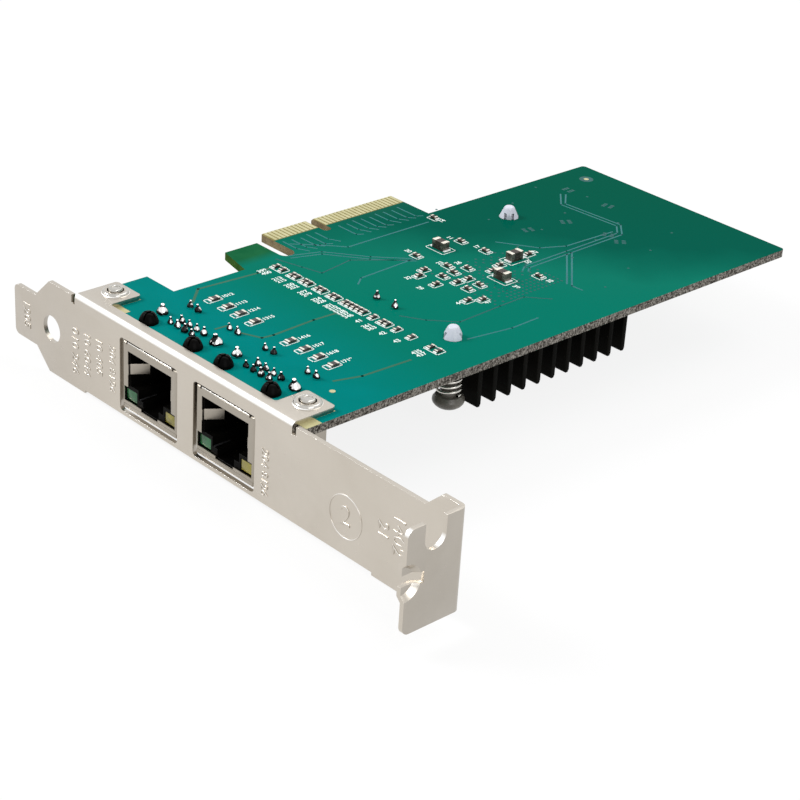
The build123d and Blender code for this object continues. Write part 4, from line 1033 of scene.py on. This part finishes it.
def push_pin(name, node, x, y, turn):
    """Smooth push pin with its barb's slots and flats."""
    stem = turned(name, 0, 0, STEM_RINGS, 40, 50)
    barb = turned("barb", 0, 0, BARB_RINGS, 40, 50)
    cutters = [box("slot", (end * 0.74 - 0.24, -3, 17.2), (end * 0.74 + 0.24, 3, 19.2)) for end in (-1, 1)]
    cutters += [box("flat", (-3, end * 3.6 - 2, 17.5), (3, end * 3.6 + 2, 21)) for end in (-1, 1)]
    cut(barb, cutters)
    pin = join(name, [stem, barb])
    smooth(pin, 35)
    pin.data.transform(shift(x, y, 0, turn))
    finish_piece(move_to_frame(pin), "nylon", node)


def pin_spring(name, node, x, y):
    """Round wire coil between the cap and the heatsink's lug."""
    curve = bpy.data.curves.new(name, "CURVE")
    curve.dimensions = "3D"
    curve.bevel_depth = COIL_WIRE_RADIUS * MM
    curve.bevel_resolution = 3
    spline = curve.splines.new("POLY")
    count = round(COIL_TURNS * COIL_STEPS)
    spline.points.add(count)
    for i, point in enumerate(spline.points):
        angle = 2 * math.pi * i / COIL_STEPS
        height = COIL_BOTTOM + (COIL_TOP - COIL_BOTTOM) * i / count
        point.co = ((x + COIL_RADIUS * math.cos(angle)) * MM, (y + COIL_RADIUS * math.sin(angle)) * MM,
                    height * MM, 1)
    piece = bpy.data.objects.new(name, curve)
    bpy.context.scene.collection.objects.link(piece)
    select_only(piece)
    bpy.ops.object.convert(target="MESH")
    piece = settle(bpy.context.object, name)
    smooth(piece, 60)
    finish_piece(move_to_frame(piece), "spring", node)


def cooling():
    """Heatsink, pad, chip, push pins and springs."""
    sink = cad_copy("heatsink", "black_heatsink", 0.12, 2, 30)
    finish_piece(sink, "anodised", "heatsink")
    dress_in_place("thermal_pad", "thermal")
    chip = cad_copy("controller_chip", "controller", 0.08, 2)
    finish_piece(chip, "package", "controller_chip")
    for side, (x, y), turn in zip(("near", "far"), PIN_PLACES, (-45, 45)):
        push_pin("nylon_pin_" + side, "push_pin_" + side, x, y, turn)
        pin_spring("coil_" + side, "pin_spring_" + side, x, y)


def fasteners():
    """Pan head screws with a cross recess, their ends seen in the collars."""
    pattern = turned("screw", 0, 0, SCREW_RINGS, 36, 40)
    cut(pattern, [box("recess", (-1.6, -0.4, 14), (1.6, 0.4, 15.4)),
                  box("recess", (-0.4, -1.6, 14), (0.4, 1.6, 15.4))])
    smooth(pattern, 35)
    piece = spread(pattern, "plated_screws",
                   [shift(x, SCREW_Y, 0, 25 * (1 + i)) for i, x in enumerate(SCREW_X)])
    finish_piece(move_to_frame(piece), "screw", "flange_screws")


def foot(name, x, y, reach, low, width):
    """A square base between a part and the board, its edges broken."""
    return box(name, (x - reach, y - reach, low), (x + reach, y + reach, COMPONENT_SIDE), width, 3)


def component_side_parts():
    """Packages, crystal, inductor and capacitors under the board."""
    for node, name, material, slot, width in (
            ("magnetics_left", "transformer_left", "package", "package_resin", 0.15),
            ("magnetics_right", "transformer_right", "package", "package_resin", 0.15),
            ("flash_memory", "memory_package", "package", "package_resin", 0.08),
            ("voltage_regulator", "regulator_package", "package", "package_resin", 0.08),
            ("crystal", "crystal_can", "can", "can_metal", 0.12)):
        piece = cad_copy(node, name, width, 3)
        finish_piece(piece, material, node)
    x, y = INDUCTOR_PLACE
    core = [turned("inductor_core", x, y, CORE_RINGS, 40), foot("inductor_base", x, y, 3.6, 15.43, 0.6)]
    finish_piece(move_to_frame(join("inductor_core", core)), "package",
                 "power_inductor")
    cans = []
    feet = []
    for x, y in BULK_PLACES:
        cans.append(turned("can", x, y, CAN_RINGS, 40))
        feet.append(foot("foot", x, y, 3.25, 15.5, 0.4))
    finish_piece(move_to_frame(join("capacitor_cans", cans)), "can", "bulk_capacitors")
    feet = move_to_frame(join("capacitor_feet", feet))
    finish_piece(feet, "package", "bulk_capacitors")
    for node in ("magnetics_leads", "package_leads"):
        dress_in_place(node, "tin")


# The scene, in order

bpy.context.scene.view_settings.view_transform = "Standard"
camera()
studio()
bracket()
board()
printing()
solder_joints()
chip_parts("chip_resistors", "resistor", "resistor", "resistor_body", 0.26, 0.3)
chip_parts("chip_capacitors", "capacitor", "ceramic", "ceramic_body", 0.26, 0.3, 1.15)
chip_parts("large_chip_capacitors", "large_capacitor", "ceramic", "ceramic_body", 0.27, 0.45, 1.9)
ports()
cooling()
fasteners()
component_side_parts()
dress_in_place("edge_contacts", "gold")
dress_in_place("ground_pads", "gold")
